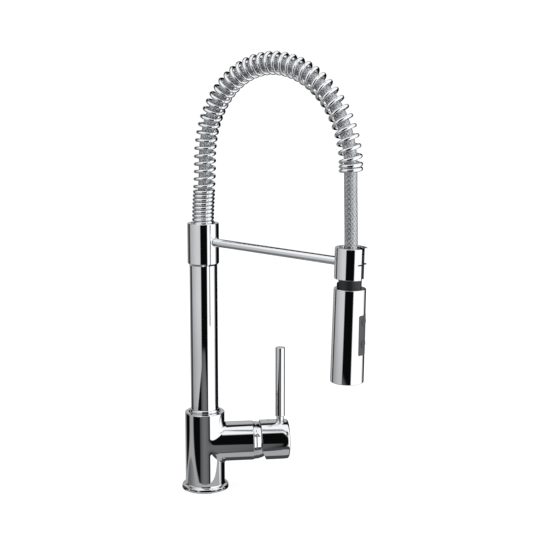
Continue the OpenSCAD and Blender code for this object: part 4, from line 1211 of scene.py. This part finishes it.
# %% [markdown]
# What makes chrome look like chrome is the room it mirrors, so a dome stands round the tap that only
# reflections can see. It holds what chrome is usually lit with: a dark flag in front, a bright soft
# panel on the right, a paler one on the left, one overhead, and a dull table below. The dome is
# turned so that its own X points at the camera. A place on it has three angles: `side` goes round the
# upright axis, `rise` is the height above the horizon, and `over` goes round the level axis in view.

# %% Dome and its angles
STUDIO_TURN, DOME_R, DEG = -50.05, 0.6, 180 / math.pi


def only_reflected(obj):
    for rays in ("camera", "diffuse", "shadow", "transmission", "volume_scatter"):
        setattr(obj, "visible_" + rays, False)


nothing_picked()
bpy.ops.mesh.primitive_uv_sphere_add(segments=96, ring_count=48, radius=DOME_R, location=(0, 0, 0.16))
dome_room = bpy.context.object
dome_room.name = "studio_dome"
dome_room.rotation_euler = (0, 0, math.radians(STUDIO_TURN))
bpy.ops.object.shade_smooth()
only_reflected(dome_room)
f = Finish("studio_light")
spot = f.where()
x, y, z = (f.node("ShaderNodeSeparateXYZ", None, {"Vector": spot}, out=k) / DOME_R for k in range(3))
side = y.math("ARCTAN2", x) * DEG
rise = z.math("ARCSINE") * DEG
over = z.math("ARCTAN2", x) * DEG
glow = x * 0.0 + 0.003
print("dome of", DOME_R, "m")

# %% [markdown]
# Each light is a mask, painted over what lies below it. First comes the air behind the tap, which is
# dull, and the dark below. Then comes the pale panel on the left, whose foot slopes. Its light runs
# down to the table in the shape of a funnel, with the dull table itself in a bowl inside.

# %% Behind and left
def paint(mask, level):
    global glow
    glow = glow * (1 - mask) + mask * level


paint((1 - f.band(side, -137, 163, 10)) * (1 - f.ease(rise, 44, 56)), 0.36)
paint(1 - f.ease(rise, -42, -34), 0.06)
paint((1 - f.ease(rise, -60, -50)) * f.band(side, -150, -28, 8), 0.4)

pale = 0.36 + 0.16 * f.ease(side, -105, -40)
pale = pale * (1 + 0.25 * f.ease(rise, -16, -5) + 0.3 * f.ease(rise, 12, 50))
foot = (side * 0.165 - 12.2).at_least(-22.3)
paint(f.band(side, -130, -108, 5) * f.ease(rise, -23, -19), 0.05)
paint(f.ease(side, -113, -103) * (1 - f.ease(side, -24, -19)) * f.ease(rise - foot, -0.4, 0.4), pale)

deep = (rise * -1 - 22.5).at_least(0).power(3)
funnel_from = f.ease(side + 97.5 + deep * 0.053, -3.5, 3.5)
funnel_to = 1 - f.ease(side + 70.5 - deep * 0.0367, -3.5, 3.5)
paint(funnel_from * funnel_to * (1 - f.ease(rise, -22, -21)) * (1 - f.ease(side, -31, -26)), 0.37)
bowl = ((side + 92) / 29).power(2) * -3 - 29
paint(1 - f.ease(rise - bowl, -0.5, 0.5), 0.14 + 0.0044 * (side + 98).at_least(0))
print("left side painted")

# %% [markdown]
# In front, the table shows below the black flag. It is brightest in its middle and starts where an
# open strip between flag and panel ends.

# %% Table in front
hump = 1 - 0.45 * ((side + 1) / 22).power(2)
start = 8 * f.ease(rise, -17.5, -15) - 28.5
edge = (side - 8).at_least(0) * -0.53 - 13.2
table = f.ease(side - start, -2, 2) * (1 - f.ease(side, 20, 24))
table = table * f.ease(rise, -58, -56) * (1 - f.ease(rise - edge, -0.8, 0.8))
paint(table, (0.165 - 0.055 * f.ease(rise, -20, -12)) * hump.at_least(0.3))
print("table painted")

# %% [markdown]
# On the right stands the big white panel, open to the top. The edge of the panel overhead crosses it
# as a thin grey line, and two small grey patches close the view high up and behind.

# %% White panel and overhead
white = f.ease(side, 27, 32) * (1 - f.ease(side, 86, 112))
paint(white * (1 - f.ease(rise, -53, -49)), 0.42)
paint(white * f.ease(rise, -37, -34), 1.15)
seam = (side - 60).at_least(0).power(2) * 0.0043 - 33.2
paint(white * f.ease(side, 56, 64) * f.band(rise - seam, -0.45, 0.45, 0.35), 0.48)
overhead = f.band(over - (y * 30).at_most(0), 47, 109, 5)
paint(overhead * (1 - f.ease(side.size(), 150, 160)) * f.ease(rise, 30, 44), 1.0)
paint(f.band(side, 30, 43, 4) * f.band(rise, 50, 72, 4), 0.39)
paint(f.band(over, 132, 176, 6) * f.ease(side.size(), 150, 162), 0.47)
dress(dome_room, f.shine(glow))
print("dome with", len(f.tree.nodes), "shader nodes")

# %% [markdown]
# The tap stands near the front edge of something pale, which its lowest surfaces mirror. It is a strip
# just above the floor that, like the dome, only reflections see.

# %% Strip under the tap
nothing_picked()
bpy.ops.mesh.primitive_plane_add(size=1, location=(0, 0, 0))
strip = bpy.context.object
strip.name = "pale_strip"
for vertex, (toward, along) in zip(strip.data.vertices, ((14, -24), (46.5, -24), (14, 140), (46.5, 140))):
    vertex.co = (toward * MM, along * MM, 0.3 * MM)
strip.rotation_euler = (0, 0, math.radians(STUDIO_TURN))
dress(strip, Finish("strip_light").shine(0.4))
only_reflected(strip)
print("strip laid")

# %% [markdown]
# The floor and the air round the tap are plain and pale. The floor glows a little itself, so the tap
# casts no dark shadow on it, and it is left out of reflections, because the dome has its own table.

# %% Floor and air
nothing_picked()
bpy.ops.mesh.primitive_plane_add(size=12, location=(0, 0, 0))
floor = bpy.context.object
floor.name = "floor"
paper = Finish("pale_floor")
speckle = paper.mix(paper.noise(3.0), [0.30, 0.30, 0.302, 1], [0.31, 0.31, 0.31, 1])
dress(floor, paper.shade(base_color=speckle, roughness=0.9, specular_ior_level=0.0,
                         emission_color=(1, 1, 1, 1), emission_strength=0.8))
floor.visible_glossy = False
world = bpy.data.worlds.new("air")
world.use_nodes = True
background = world.node_tree.nodes["Background"]
background.inputs["Color"].default_value = (1, 1, 1, 1)
background.inputs["Strength"].default_value = 1.04
bpy.context.scene.world = world
bpy.context.scene.view_settings.view_transform = "Standard"
print("floor and air ready")
